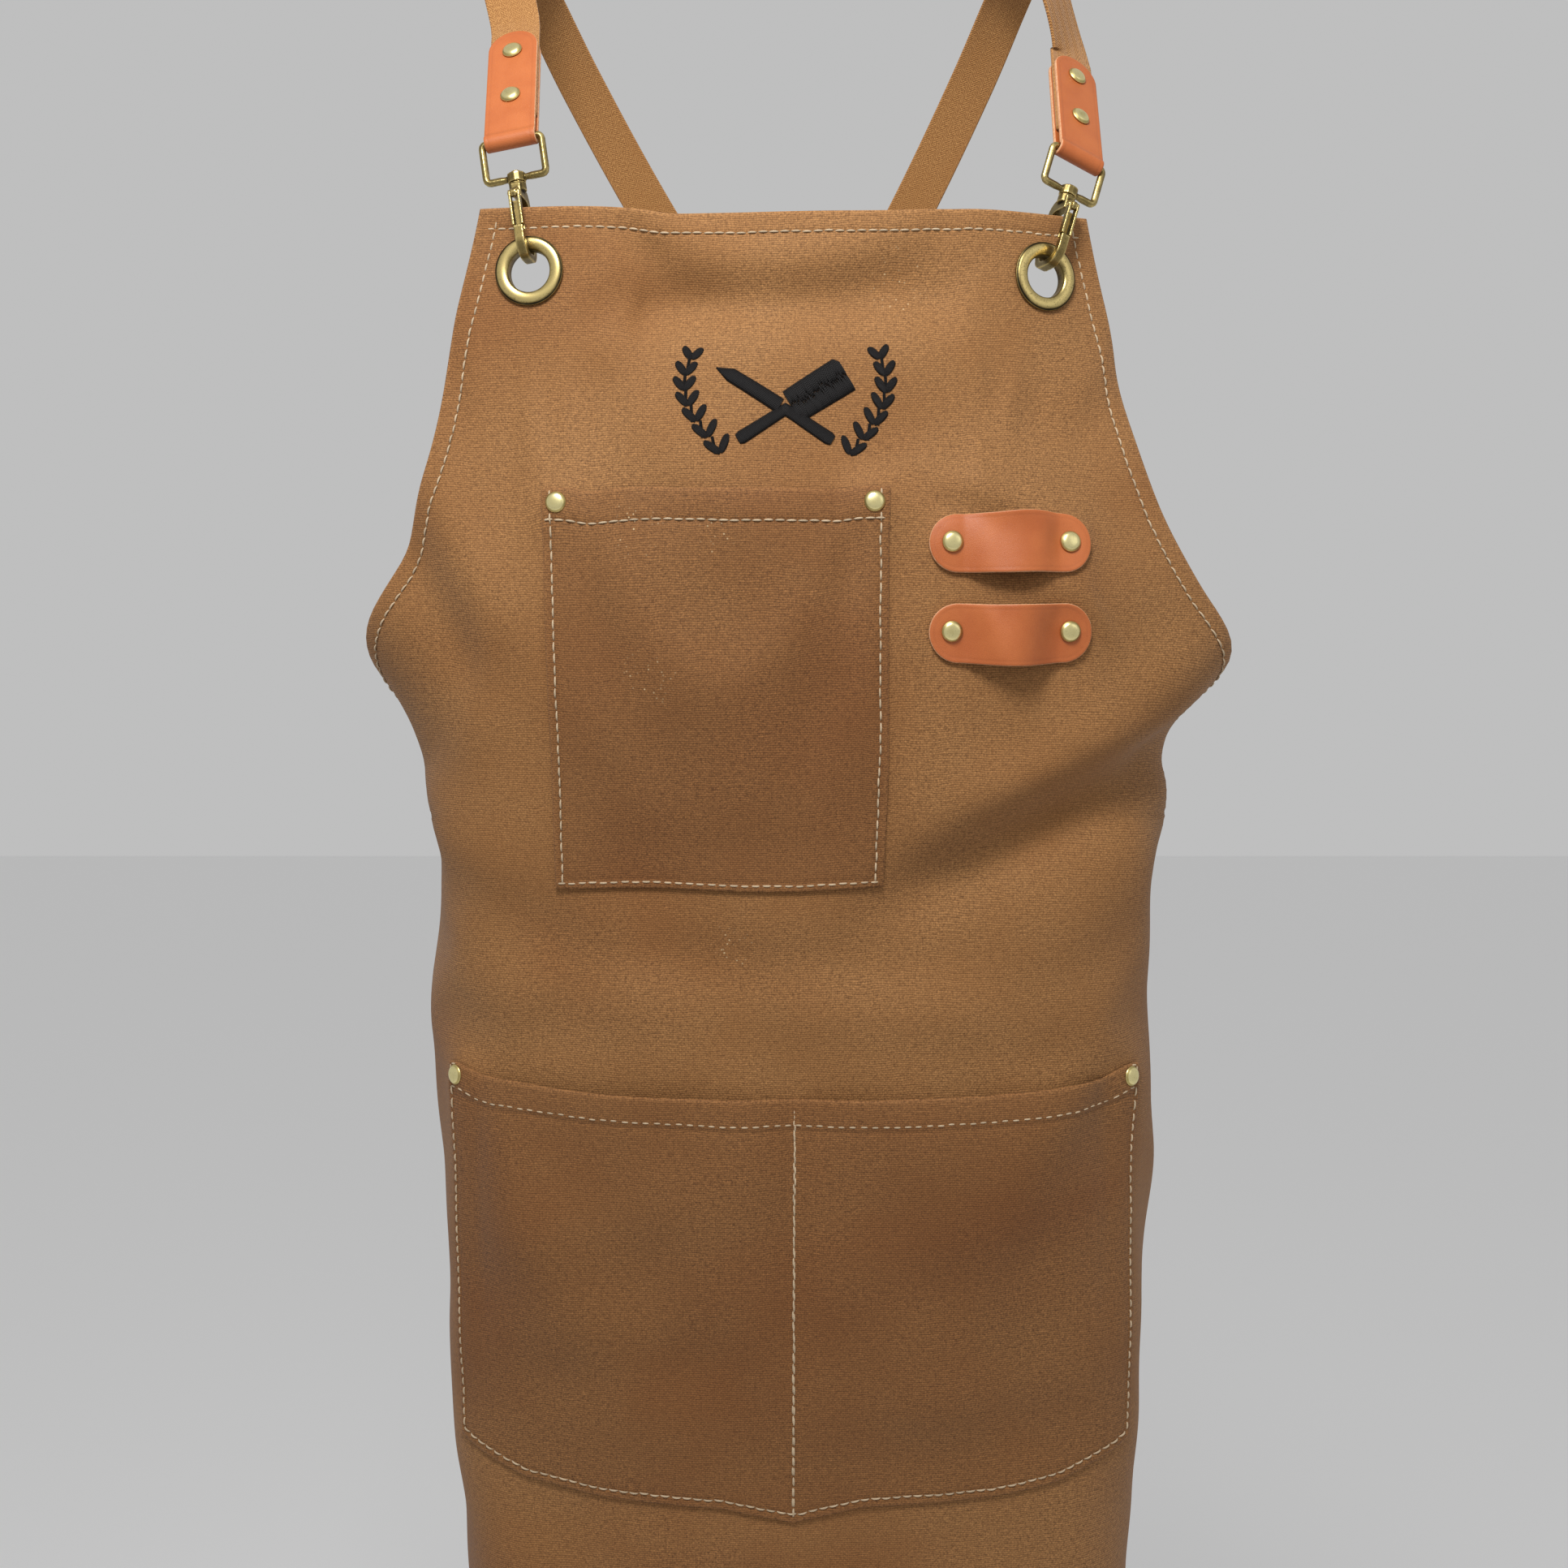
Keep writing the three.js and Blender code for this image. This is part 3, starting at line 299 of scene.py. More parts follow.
def simulate_settling():
    """Hangs a coarse copy of the panel, cut 2% too large, and returns how far each point moves, in mm."""
    u, v = settle_grid()
    rest = cloth(u, v)
    mesh = bpy.data.meshes.new("settling")
    mesh.from_pydata((rest.reshape(-1, 3) * MM).tolist(), [], grid_quads(*u.shape).tolist())
    copy = bpy.data.objects.new("settling", mesh)
    bpy.context.scene.collection.objects.link(copy)
    hold = copy.vertex_groups.new(name="hold")
    grip = 0.06 + 0.94 * (1 - free(u, v)).ravel() ** 0.5
    for i, weight in enumerate(grip):
        hold.add([i], float(weight), "REPLACE")
    sim = copy.modifiers.new("cloth", "CLOTH")
    sim.settings.quality = 6
    sim.settings.mass = 0.4
    sim.settings.tension_stiffness = sim.settings.compression_stiffness = 30
    sim.settings.shear_stiffness = 12
    sim.settings.bending_stiffness = 0.6
    sim.settings.shrink_min = -0.02
    sim.settings.vertex_group_mass = "hold"
    sim.settings.pin_stiffness = 0.6
    sim.settings.effector_weights.gravity = 0.4
    sim.collision_settings.use_collision = False
    sim.point_cache.frame_start = 1
    sim.point_cache.frame_end = SETTLE_FRAMES
    scene = bpy.context.scene
    for step in range(1, SETTLE_FRAMES + 1):
        scene.frame_set(step)
    result = copy.evaluated_get(bpy.context.evaluated_depsgraph_get()).to_mesh()
    place = np.empty(len(result.vertices) * 3)
    result.vertices.foreach_get("co", place)
    bpy.data.objects.remove(copy)
    scene.frame_set(1)
    move = place.reshape(rest.shape) / MM - rest
    size = np.linalg.norm(move, axis=-1, keepdims=True)
    return move * np.minimum(1, SETTLE_CAP / np.maximum(size, 1e-6))


def settle(u, v):
    """The settled cloth's offset at any point, through a smooth cubic lookup."""
    if settled is None:
        return np.zeros(u.shape + (3,))
    rows, columns = settled.shape[:2]
    x = (np.clip(u / half_width(v), -1, 1) + 1) / 2 * (columns - 1)
    y = np.clip(v / LENGTH, 0, 1) * (rows - 1)
    total = np.zeros(u.shape + (3,))
    weights = []
    for at, count in ((x, columns), (y, rows)):
        low = np.minimum(at.astype(int), count - 2)
        t = at - low
        taps = [(1 - t) ** 3, 3 * t**3 - 6 * t**2 + 4, -3 * t**3 + 3 * t**2 + 3 * t + 1, t**3]
        weights.append([(np.clip(low + k - 1, 0, count - 1), tap / 6) for k, tap in enumerate(taps)])
    for column, across in weights[0]:
        for row, down in weights[1]:
            total += settled[row, column] * (across * down)[..., None]
    return total * free(u, v)[..., None]


def cloth(u, v, height=0.0):
    """Points in mm at this height over the hung cloth."""
    u, v = (np.array(a, float) for a in np.broadcast_arrays(u, v))
    place, normal = worn(u, v)
    return place + normal * (height + folds(u, v))[..., None] + settle(u, v)


def cloth_axes(u, v):
    """Unit directions on the hung cloth: growing u, up, and the outward normal."""
    right = unit(cloth(u + 1.5, v) - cloth(u - 1.5, v))
    up = cloth(u, v - 1.5) - cloth(u, v + 1.5)
    normal = unit(np.cross(right, up))
    return right, np.cross(normal, right), normal


# ---- Objects ----
def new_object(name, points, faces, material, fields=None):
    """A mesh object from points in millimetres. fields are values kept on its vertices."""
    mesh = bpy.data.meshes.new(name)
    mesh.from_pydata((np.asarray(points) * MM).tolist(), [], [list(map(int, f)) for f in faces])
    for field, values in (fields or {}).items():
        values = np.asarray(values, np.float32)
        kind, key = ("FLOAT_VECTOR", "vector") if values.ndim == 2 else ("FLOAT", "value")
        mesh.attributes.new(field, kind, "POINT").data.foreach_set(key, values.ravel())
    mesh.materials.append(material)
    mesh.polygons.foreach_set("use_smooth", np.ones(len(mesh.polygons), bool))
    mesh.validate()
    obj = bpy.data.objects.new(name, mesh)
    bpy.context.scene.collection.objects.link(obj)
    return obj


def belongs(obj, body=BODY, replaces=()):
    """Sets the body that a piece rides on and the CAD nodes that it stands for."""
    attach(obj, body)
    if replaces:
        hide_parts(*replaces)
    return obj


def closed_sheet(name, front, back, flat, material, keep=None, fields=None):
    """A closed sheet from two grids of points, joined along every open edge. keep marks the cells to keep."""
    rows, columns = front.shape[:2]
    quads = grid_quads(rows, columns)
    if keep is not None:
        quads = quads[keep.ravel()]
    count = rows * columns
    edges = np.concatenate([quads[:, [k, (k + 1) % 4]] for k in range(4)])
    keys = np.sort(edges, 1)
    _, first, uses = np.unique(keys[:, 0] * count + keys[:, 1], return_index=True, return_counts=True)
    rim = edges[first[uses == 1]]
    walls = np.stack([rim[:, 1], rim[:, 0], rim[:, 0] + count, rim[:, 1] + count], -1)
    faces = np.concatenate([quads, quads[:, ::-1] + count, walls])
    points = np.concatenate([front.reshape(-1, 3), back.reshape(-1, 3)])
    used, faces = np.unique(faces, return_inverse=True)
    layout = np.concatenate([flat.reshape(-1, 2)] * 2)
    values = {"flat": np.column_stack([layout, np.zeros(len(layout))])}
    values.update({key: np.concatenate([value.ravel()] * 2) for key, value in (fields or {}).items()})
    values = {key: value[used] for key, value in values.items()}
    return new_object(name, points[used], faces.reshape(-1, 4), material, values)


# ---- Stitches: short raised threads that dip into the cloth at both ends ----
STITCH = {"pitch": 5.1, "length": 4.3, "radius": 0.5, "stray": 0.12}
STITCH_RISE = np.array([-0.45, 0.22, 0.34, 0.22, -0.45])  # over the surface, along one stitch


def tube_faces(sections, sides, count):
    """Faces of many closed tubes, each with this many sections of this many sides."""
    at = np.arange(sections * sides).reshape(sections, sides)
    around = np.roll(at, -1, 1)
    walls = np.stack([at[:-1], around[:-1], around[1:], at[1:]], -1).reshape(-1, 4)
    ends = [at[0][::-1], at[-1]]
    faces = []
    for k in range(count):
        shift = k * sections * sides
        faces += (walls + shift).tolist()
        faces += [(end + shift).tolist() for end in ends]
    return faces


def threads(name, lines, normals, radius, material, sides=6):
    """Tubes along lines of shape (threads, sections, 3), thinner at their ends."""
    count, sections = lines.shape[:2]
    along = unit(np.gradient(lines, axis=1))
    side = unit(np.cross(along, normals))
    out = np.cross(side, along)
    angle = 2 * math.pi * np.arange(sides) / sides
    taper = np.sin(np.linspace(0.5, math.pi - 0.5, sections)) ** 0.6
    size = (radius * taper)[None, :, None, None]
    ring = side[:, :, None] * np.cos(angle)[:, None] + out[:, :, None] * np.sin(angle)[:, None]
    points = (lines[:, :, None] + ring * size).reshape(-1, 3)
    local = np.tile(np.stack(np.meshgrid(np.linspace(0, 1, sections), angle, indexing="ij"), -1)
                    .reshape(-1, 2), (count, 1))
    seed = np.repeat(rng.random(count), sections * sides)
    fields = {"along": np.column_stack([local, seed])}
    return new_object(name, points, tube_faces(sections, sides, count), material, fields)


def sew(name, runs, height, material, side=1):
    """Stitches along lines on the cloth. height is the surface that they lie on, and side -1 is its back."""
    lines = []
    for points in runs:
        points = np.asarray(points, float)
        run = run_along(points)
        count = max(1, int(run[-1] / STITCH["pitch"]))
        starts = np.arange(count) * run[-1] / count
        length = STITCH["length"] + rng.normal(0, STITCH["stray"], count)
        at = starts[:, None] + length[:, None] * np.linspace(0, 1, len(STITCH_RISE))
        line = [np.interp(at, run, points[:, k]) for k in (0, 1)]
        lines.append([place + rng.normal(0, STITCH["stray"], (count, 1)) for place in line])
    u, v = (np.concatenate([line[k] for line in lines]) for k in (0, 1))
    places = cloth(u, v, height(u, v) + side * STITCH_RISE)
    normal = cloth_axes(u, v)[2] * side
    return threads(name, places, normal, STITCH["radius"], material)


# ---- Materials ----
class Shader:
    """A material's node tree, with short ways to add nodes."""

    def __init__(self, name):
        self.material = bpy.data.materials.new(name)
        self.material.use_nodes = True
        self.tree = self.material.node_tree
        self.surface = self.tree.nodes["Principled BSDF"]

    def link(self, value, socket):
        if isinstance(value, bpy.types.NodeSocket):
            self.tree.links.new(value, socket)
        else:
            socket.default_value = value

    def node(self, kind, inputs=None, output=0, **settings):
        made = self.tree.nodes.new("ShaderNode" + kind)
        for key, value in settings.items():
            setattr(made, key, value)
        for key, value in (inputs or {}).items():
            self.link(value, made.inputs[key])
        return made.outputs[output]

    def math(self, operation, a, b=0.0):
        return self.node("Math", {0: a, 1: b}, operation=operation)

    def times(self, a, b):
        return self.math("MULTIPLY", a, b)

    def total(self, *terms, start=0.0):
        """The start plus the sum of (value, weight) terms."""
        for value, weight in terms:
            start = self.math("ADD", start, self.times(value, weight))
        return start

    def wave(self, value, pitch):
        """A sine that crosses 0 at every step of this pitch."""
        return self.math("SINE", self.times(value, math.pi / pitch))

    def parts(self, vector):
        """A vector's X, Y and Z."""
        made = self.tree.nodes.new("ShaderNodeSeparateXYZ")
        self.link(vector, made.inputs[0])
        return made.outputs

    def field(self, name, output="Vector"):
        return self.node("Attribute", output=output, attribute_name=name)

    def scaled(self, vector, scale):
        return self.node("VectorMath", {0: vector, 1: scale}, operation="MULTIPLY")

    def noise(self, vector, scale, detail, rough=0.55, distortion=0.0):
        return self.node("TexNoise", {"Vector": vector, "Scale": scale, "Detail": detail,
                                      "Roughness": rough, "Distortion": distortion}, "Fac")

    def mottling(self, flat, across, down, detail, rough=0.55, distortion=0.0):
        """Noise on the flat cloth, with this many changes to a millimetre each way."""
        return self.noise(self.scaled(flat, (across, down, 0)), 1.0, detail, rough, distortion)

    def ramp(self, value, low, high):
        """0 at low and 1 at high, smooth between. low may be the greater."""
        return self.node("MapRange", {"Value": value, "From Min": low, "From Max": high},
                         interpolation_type="SMOOTHSTEP")

    def blend(self, factor, a, b, blend="MIX"):
        made = self.tree.nodes.new("ShaderNodeMix")
        made.data_type, made.blend_type = "RGBA", blend
        for value, socket in ((factor, made.inputs[0]), (a, made.inputs[6]), (b, made.inputs[7])):
            self.link(value, socket)
        return made.outputs[2]

    def darkened(self, base, value):
        """A colour multiplied by a grey of this value."""
        grey = self.node("CombineColor", {"Red": value, "Green": value, "Blue": value})
        return self.blend(1.0, base, grey, "MULTIPLY")

    def bump(self, height, distance, strength):
        return self.node("Bump", {"Height": height, "Distance": distance, "Strength": strength})

    def set(self, **values):
        for key, value in values.items():
            self.link(value, self.surface.inputs[key.replace("_", " ")])
        return self.material


def colour(red, green, blue):
    """An sRGB colour from 0 to 255, in linear light."""
    linear = [((c / 255 + 0.055) / 1.055) ** 2.4 if c > 10 else c / 255 / 12.92 for c in (red, green, blue)]
    return (*linear, 1.0)


WARP_PITCH, WEFT_PITCH = 0.86, 1.04
HERRINGBONE = {"width": 3.1, "twill": 1.5, "cord": 0.62}


def bent_weave(s, flat):
    """The flat cloth's place, wavering as real threads do."""
    slow = s.scaled(flat, (0.09, 0.09, 0))
    wobble = s.node("TexNoise", {"Vector": slow, "Scale": 1.0, "Detail": 2.0}, "Color")
    wobble = s.node("VectorMath", {0: wobble, 1: (0.5, 0.5, 0.5)}, operation="SUBTRACT")
    return s.node("VectorMath", {0: wobble, 1: (2.2, 2.2, 0), 2: flat}, operation="MULTIPLY_ADD")


def plain_weave(s, place):
    """The height of a plain weave of warp and weft threads."""
    across, down, _ = s.parts(place)
    warp, weft = s.wave(across, WARP_PITCH), s.wave(down, WEFT_PITCH)
    rib, gap = (s.math("POWER", s.math("ABSOLUTE", thread), 0.5) for thread in (weft, warp))
    return s.total((rib, 0.55), (gap, 0.3), (s.times(warp, weft), 0.22))


def dusted(s, flat, base):
    """Flour in small specks, inside the dust field's patches."""
    cell = s.node("TexVoronoi", {"Vector": s.scaled(flat, (0.42, 0.42, 0)), "Scale": 1.0, "Randomness": 1.0})
    area = s.times(s.field("dust", "Fac"), s.mottling(flat, 0.07, 0.07, 3.0))
    dust = s.times(s.ramp(cell, 0.24, 0.08), s.ramp(area, 0.24, 0.56))
    return s.blend(s.times(dust, 0.75), base, colour(214, 190, 148))


def canvas_material(name, light, middle, dark, mottle):
    """Canvas that is uneven in tone, with painted shade between its threads, rubbed at its edges and dusted
    with flour.
    """
    s = Shader(name)
    flat = s.field("flat")
    bent = bent_weave(s, flat)
    weave = plain_weave(s, bent)
    fleck = s.mottling(flat, 0.8, 0.9, 2.0, 0.7)
    cloud = s.mottling(flat, 0.011, 0.012, 4.0, 0.6)
    slow = s.mottling(flat, 0.0042, 0.0058, 3.0, 0.5, 0.4)
    wefts, warps = s.mottling(bent, 0.3, 0.95, 2.0), s.mottling(bent, 1.1, 0.3, 2.0)
    tone = s.total((wefts, 0.3), (warps, 0.22), (fleck, 0.48))
    base = s.blend(s.ramp(tone, 0.27, 0.72), dark, light)
    base = s.blend(s.times(s.ramp(cloud, 0.35, 0.7), 0.5), base, middle)
    base = s.blend(s.times(s.ramp(slow, 0.42, 0.7), 0.5), base, mottle, "MULTIPLY")
    # Painted shade: the colour is darkened in the weave's grooves, down to 0.36 of itself, with a slight
    # painted highlight on the threads' crests.
    base = s.darkened(base, s.total((s.ramp(weave, 0.18, 0.78), 0.8), start=0.36))
    rubbed = s.times(s.field("edge", "Fac"), s.ramp(fleck, 0.4, 0.62))
    base = dusted(s, flat, s.blend(s.times(rubbed, 0.55), base, light))
    normal = s.bump(s.total((weave, 1.0), (tone, 0.9)), 0.00022, 0.75)
    roughness = s.total((cloud, 0.2), start=0.62)
    return s.set(Base_Color=base, Roughness=roughness, Normal=normal, Sheen_Weight=0.06,
                 Sheen_Roughness=0.55, Specular_IOR_Level=0.22)


def leather_material():
    """Tan leather with a fine grain, raw fibres on its cut edges and a dark creased line beside them."""
    s = Shader("tan_leather")
    place = s.node("TexCoord", output="Object")
    grain = s.node("TexVoronoi", {"Vector": place, "Scale": 1500.0, "Randomness": 1.0}, "Distance",
                   feature="DISTANCE_TO_EDGE")
    cloud = s.noise(place, 45.0, 4.0)
    base = s.blend(s.ramp(cloud, 0.3, 0.72), colour(172, 90, 43), colour(184, 102, 52))
    base = s.blend(s.times(s.ramp(grain, 0.12, 0.0), 0.22), base, colour(128, 66, 32))
    fibre = s.ramp(s.noise(place, 900.0, 3.0), 0.35, 0.65)
    fibres = s.blend(fibre, colour(190, 132, 92), colour(208, 160, 122))
    raw = s.ramp(s.field("edge", "Fac"), 0.45, 0.8)
    base = s.blend(raw, base, fibres)
    base = s.blend(s.times(s.field("crease", "Fac"), 0.15), base, colour(120, 60, 28))
    height = s.total((s.ramp(grain, 0.0, 0.25), 0.7), (s.noise(place, 2600.0, 2.0), 0.5))
    roughness = s.total((cloud, 0.16), (raw, 0.35), start=0.4)
    normal = s.bump(height, 0.00008, 0.6)
    return s.set(Base_Color=base, Roughness=roughness, Normal=normal, Specular_IOR_Level=0.4)


def webbing_material():
    """Cotton webbing in a herringbone twill, with painted shade in the twill's grooves."""
    s = Shader("herringbone_webbing")
    flat = s.field("flat")
    across, along, _ = s.parts(flat)
    zigzag = s.math("ADD", along, s.math("PINGPONG", across, HERRINGBONE["width"]))
    cord = s.math("ABSOLUTE", s.wave(across, HERRINGBONE["cord"]))
    weave = s.total((s.wave(zigzag, HERRINGBONE["twill"] / 2), 0.4), (cord, 0.5))
    fleck = s.mottling(flat, 1.6, 0.7, 2.0)
    cloud = s.mottling(flat, 0.05, 0.02, 3.0)
    base = s.blend(s.ramp(fleck, 0.3, 0.7), colour(148, 100, 52), colour(186, 136, 80))
    base = s.blend(s.times(s.ramp(cloud, 0.4, 0.7), 0.5), base, colour(164, 114, 62))
    # Painted shade: where the weave is low, the colour is darkened towards a dark brown.
    base = s.blend(s.times(s.ramp(weave, 0.25, -0.25), 0.6), base, colour(100, 62, 30))
    normal = s.bump(weave, 0.0003, 0.8)
    return s.set(Base_Color=base, Roughness=0.82, Normal=normal, Sheen_Weight=0.15, Specular_IOR_Level=0.25)


def thread_material(name, light, dark, roughness):
    """Thread with its twist, shown as painted shade in the grooves between its plies and painted light on the
    plies, each stitch a little lighter or darker than the next.
    """
    s = Shader(name)
    along, around, seed = s.parts(s.field("along"))
    ply = s.math("SINE", s.times(s.total((along, 22.0), (around, 1.0)), 3.0))
    # Painted shade and highlight: the twist's grooves take the dark colour and its plies the light one.
    base = s.blend(s.ramp(ply, -0.9, 0.4), dark, light)
    base = s.darkened(base, s.total((seed, 0.26), start=0.8))
    normal = s.bump(ply, 0.00012, 0.6)
    return s.set(Base_Color=base, Roughness=roughness, Normal=normal, Specular_IOR_Level=0.3)


def metal_material(name, bright, middle, dark, patina):
    """Rubbed metal: bright on its worn edges and dark where nothing rubs it. On the eyelets' crests the
    bright colour is a painted highlight as well as wear.
    """
    s = Shader(name)
    place = s.node("TexCoord", output="Object")
    cloud = s.noise(place, 140.0, 4.0, 0.6)
    spots = s.noise(place, 1300.0, 3.0, 0.65)
    wear_and_highlight = s.total((s.field("wear_and_highlight", "Fac"), 1.0), (s.math("SUBTRACT", cloud, 0.5), 0.55))
    base = s.blend(s.ramp(wear_and_highlight, 0.12, 0.5), dark, middle)
    base = s.blend(s.ramp(wear_and_highlight, 0.5, 0.82), base, bright)
    tarnish = s.times(s.ramp(spots, 0.52, 0.7), patina)
    base = s.blend(tarnish, base, dark)
    roughness = s.total((s.ramp(wear_and_highlight, 0.15, 0.8), -0.22), (tarnish, 0.3), start=0.5)
    return s.set(Base_Color=base, Metallic=1.0, Roughness=roughness, Normal=s.bump(spots, 0.00004, 0.35))


CANVAS = canvas_material(
    "waxed_canvas", colour(172, 124, 75), colour(135, 90, 48), colour(98, 64, 32), colour(212, 184, 156))
POCKET_CANVAS = canvas_material(
    "pocket_canvas", colour(155, 108, 63), colour(120, 77, 40), colour(87, 55, 26), colour(212, 178, 150))
LEATHER = leather_material()
WEBBING = webbing_material()
CREAM_THREAD = thread_material("cream_thread", colour(212, 192, 162), colour(184, 156, 122), 0.6)
BLACK_THREAD = thread_material("black_thread", colour(24, 20, 20), colour(8, 7, 7), 0.55)
BRASS = metal_material(
    "antique_brass", colour(214, 192, 128), colour(140, 122, 76), colour(44, 38, 28), 0.55)
# The rivets' brass is painted lighter than the other brass and with less tarnish: a painted highlight for the
# light that the rivets catch.
RIVET_HIGHLIGHT_BRASS = metal_material(
    "rivet_highlight_brass", colour(244, 230, 168), colour(206, 188, 124), colour(84, 72, 46), 0.22)
STEEL = metal_material("plated_steel", colour(206, 202, 190), colour(150, 146, 136), colour(60, 58, 54), 0.3)


# ---- The canvas panel ----
EDGE_STEPS = [0, 0.45, 1.2, 2.4, 4.2, 6.2, 7.8, 8.8, 9.5, 10.2, 11.2, 12.1, 12.9, 14.5]
PANEL_STEP = 4.4
HEM_RADIUS, TURNED_IN = 1.3, 1.3
EDGE_ROUND = 1.5  # how far outside the edge the fullness would reach 0
STITCH_PULL = 0.9  # how far beside them the stitches draw the cloth in
HEM_PUFF, SEAM_PUFF, MOUTH_PUFF = 0.35, 0.4, 0.75
HEM_DRAWN, SEAM_DRAWN = 0.3, 0.32  # how deep the stitches draw the cloth in
THREAD_CLEAR = 0.05  # how far the stitches lie over the cloth
# Where flour has settled into the weave: its place on the cloth and its reach.
DUST_SPOTS = [(50, 34, 22), (-70, 150, 20), (-66, 214, 18), (-34, 152, 14), (-28, 346, 16)]


def spaced(length, step, first=EDGE_STEPS, last=EDGE_STEPS):
    """Places along a length: close together near its ends, and evenly spaced between."""
    inner = length - first[-1] - last[-1]
    count = max(2, int(inner / step))
    middle = first[-1] + inner * np.arange(1, count) / count
    return np.concatenate([first, middle, length - np.array(last[::-1])])


def bulge(distance, stitch):
    """The cloth's fullness between an edge and the stitches beside it, from 0 to 1."""
    share = np.clip((distance + EDGE_ROUND) / (stitch + EDGE_ROUND), 0, 1)
    return np.sin(share * math.pi) ** 0.5


def rolled_edge(distance, radius):
    """0 at a folded edge, rising in a quarter circle to 1."""
    return np.sqrt(np.clip(1 - (1 - np.clip(distance / radius, 0, 1)) ** 2, 0, 1))


def hem_front(distance):
    """The outside of the hem: rounded at its edge, full between, and drawn in along the stitches."""
    edge = rolled_edge(distance, HEM_RADIUS)
    drawn = near(distance, HEM_STITCH, STITCH_PULL)
    return HALF_CANVAS * edge + HEM_PUFF * bulge(distance, HEM_STITCH) * edge - HEM_DRAWN * drawn


def hem_back(distance):
    """The inside of the hem, with the cloth that is turned in."""
    edge = np.maximum(rolled_edge(distance, HEM_RADIUS), 0.15)
    folded = 1 - smoothstep(distance, HEM_FOLD - 0.5, HEM_FOLD + 0.3)
    drawn = near(distance, HEM_STITCH, STITCH_PULL)
    return (HALF_CANVAS + TURNED_IN * folded) * edge - HEM_DRAWN * drawn * folded


def panel_grid():
    """Grid points of the flat panel, and how far each is from its nearest edge."""
    rows = spaced(LENGTH, PANEL_STEP)
    shares = spaced(2 * HALF_WIDTH, PANEL_STEP)
    inset = np.minimum(shares, 2 * HALF_WIDTH - shares)
    side = np.sign(shares - HALF_WIDTH)
    reach = half_width(rows)[:, None]
    slant = edge_slant(rows)[:, None]
    rim = EDGE_STEPS[-1]
    inner = np.clip((inset - rim) / (HALF_WIDTH - rim), 0, 1)
    u = np.where(inset <= rim, reach - inset * slant, (reach - rim * slant) * (1 - inner)) * side
    v = np.broadcast_to(rows[:, None], u.shape)
    distance = np.minimum(np.minimum((reach - np.abs(u)) / slant, v), LENGTH - v)
    return u, v, distance


def dust_at(u, v):
    """How much flour lies here, from 0 to 1."""
    total = np.zeros_like(u)
    for at_u, at_v, reach in DUST_SPOTS:
        total = np.maximum(total, np.exp(-((u - at_u) ** 2 + (v - at_v) ** 2) / reach**2))
    return total


def punch_holes(u, v):
    """Moves grid points out of the eyelet holes and marks the cells to keep."""
    keep = np.ones((u.shape[0] - 1, u.shape[1] - 1), bool)
    u, v = u.copy(), v.copy()
    for at_u, at_v in EYELETS.values():
        for side in (-1, 1):
            across, down = u - side * at_u, v - at_v
            reach = np.hypot(across, down)
            inside = reach < EYELET_HOLE
            corners = [inside[:-1, :-1], inside[1:, :-1], inside[:-1, 1:], inside[1:, 1:]]
            keep &= ~np.logical_and.reduce(corners)
            push = np.where(inside, EYELET_HOLE / np.maximum(reach, 0.5), 1)
            u = side * at_u + across * push
            v = at_v + down * push
    return u, v, keep


def make_panel():
    u, v, distance = panel_grid()
    u, v, keep = punch_holes(u, v)
    front, back = cloth(u, v, hem_front(distance)), cloth(u, v, -hem_back(distance))
    fields = {"edge": 1 - smoothstep(distance, 0.6, 2.6), "dust": dust_at(u, v)}
    panel = closed_sheet("canvas_panel", front, back, np.stack([u, v], -1), CANVAS, keep, fields)
    return belongs(panel, replaces=["apron_panel"])


def hem_lines():
    """The stitch line round the panel, in u and v."""
    corner = ARMHOLE - 5, ARMHOLE + 10
    down = np.concatenate([np.arange(HEM_STITCH - 4, corner[0], 4), np.arange(*corner, 2),
                           np.arange(corner[1], LENGTH - 5, 8)])
    reach = half_width(down) - HEM_STITCH * edge_slant(down)
    across = np.linspace(-BIB + 3, BIB - 3, 60)
    bottom = np.linspace(-HALF_WIDTH + 5, HALF_WIDTH - 5, 90)
    lines = [np.column_stack([side * reach, down]) for side in (-1, 1)]
    lines.append(np.column_stack([across, np.full_like(across, HEM_STITCH)]))
    lines.append(np.column_stack([bottom, np.full_like(bottom, LENGTH - HEM_STITCH)]))
    return lines


def over_hem(u, v):
    """The front stitches' height. They lie lower near the eyelets, clear of the hooks."""
    return 0.1 + 0.65 * free(u, v)


def under_hem(u, v):
    """The back stitches' height, on the turned-in cloth."""
    return np.full_like(u, -HALF_CANVAS - TURNED_IN - THREAD_CLEAR)


def make_hem_stitches():
    front = sew("panel_stitches_front", hem_lines(), over_hem, CREAM_THREAD)
    back = sew("panel_stitches_back", hem_lines(), under_hem, CREAM_THREAD, -1)
    return [belongs(front), belongs(back)]


# ---- Pockets ----
POCKET_STEPS = [0, 0.4, 1.1, 2.1, 3.2, 4.2, 5.2, 6.6, 8.4]
MOUTH_STEPS = [0, 0.4, 1.1, 2.4, 4.5, 7.5, 10.5, 12.8, 14.2, 15.0, 15.8, 17.2]
POCKET_STEP = 3.6
POCKET_RADIUS = 1.2
SIDE_STITCH, MOUTH_STITCH, LOWER_MOUTH_STITCH = 4.2, 15.0, 12.5


def pocket_lift(pocket, across, down):
    """How far a pocket stands out. across is -1 and 1 at its sides, and down is 0 at its mouth."""
    return pocket["slack"] * np.maximum(0, 1 - across**4) * (1 - np.clip(down, 0, 1) ** 2)


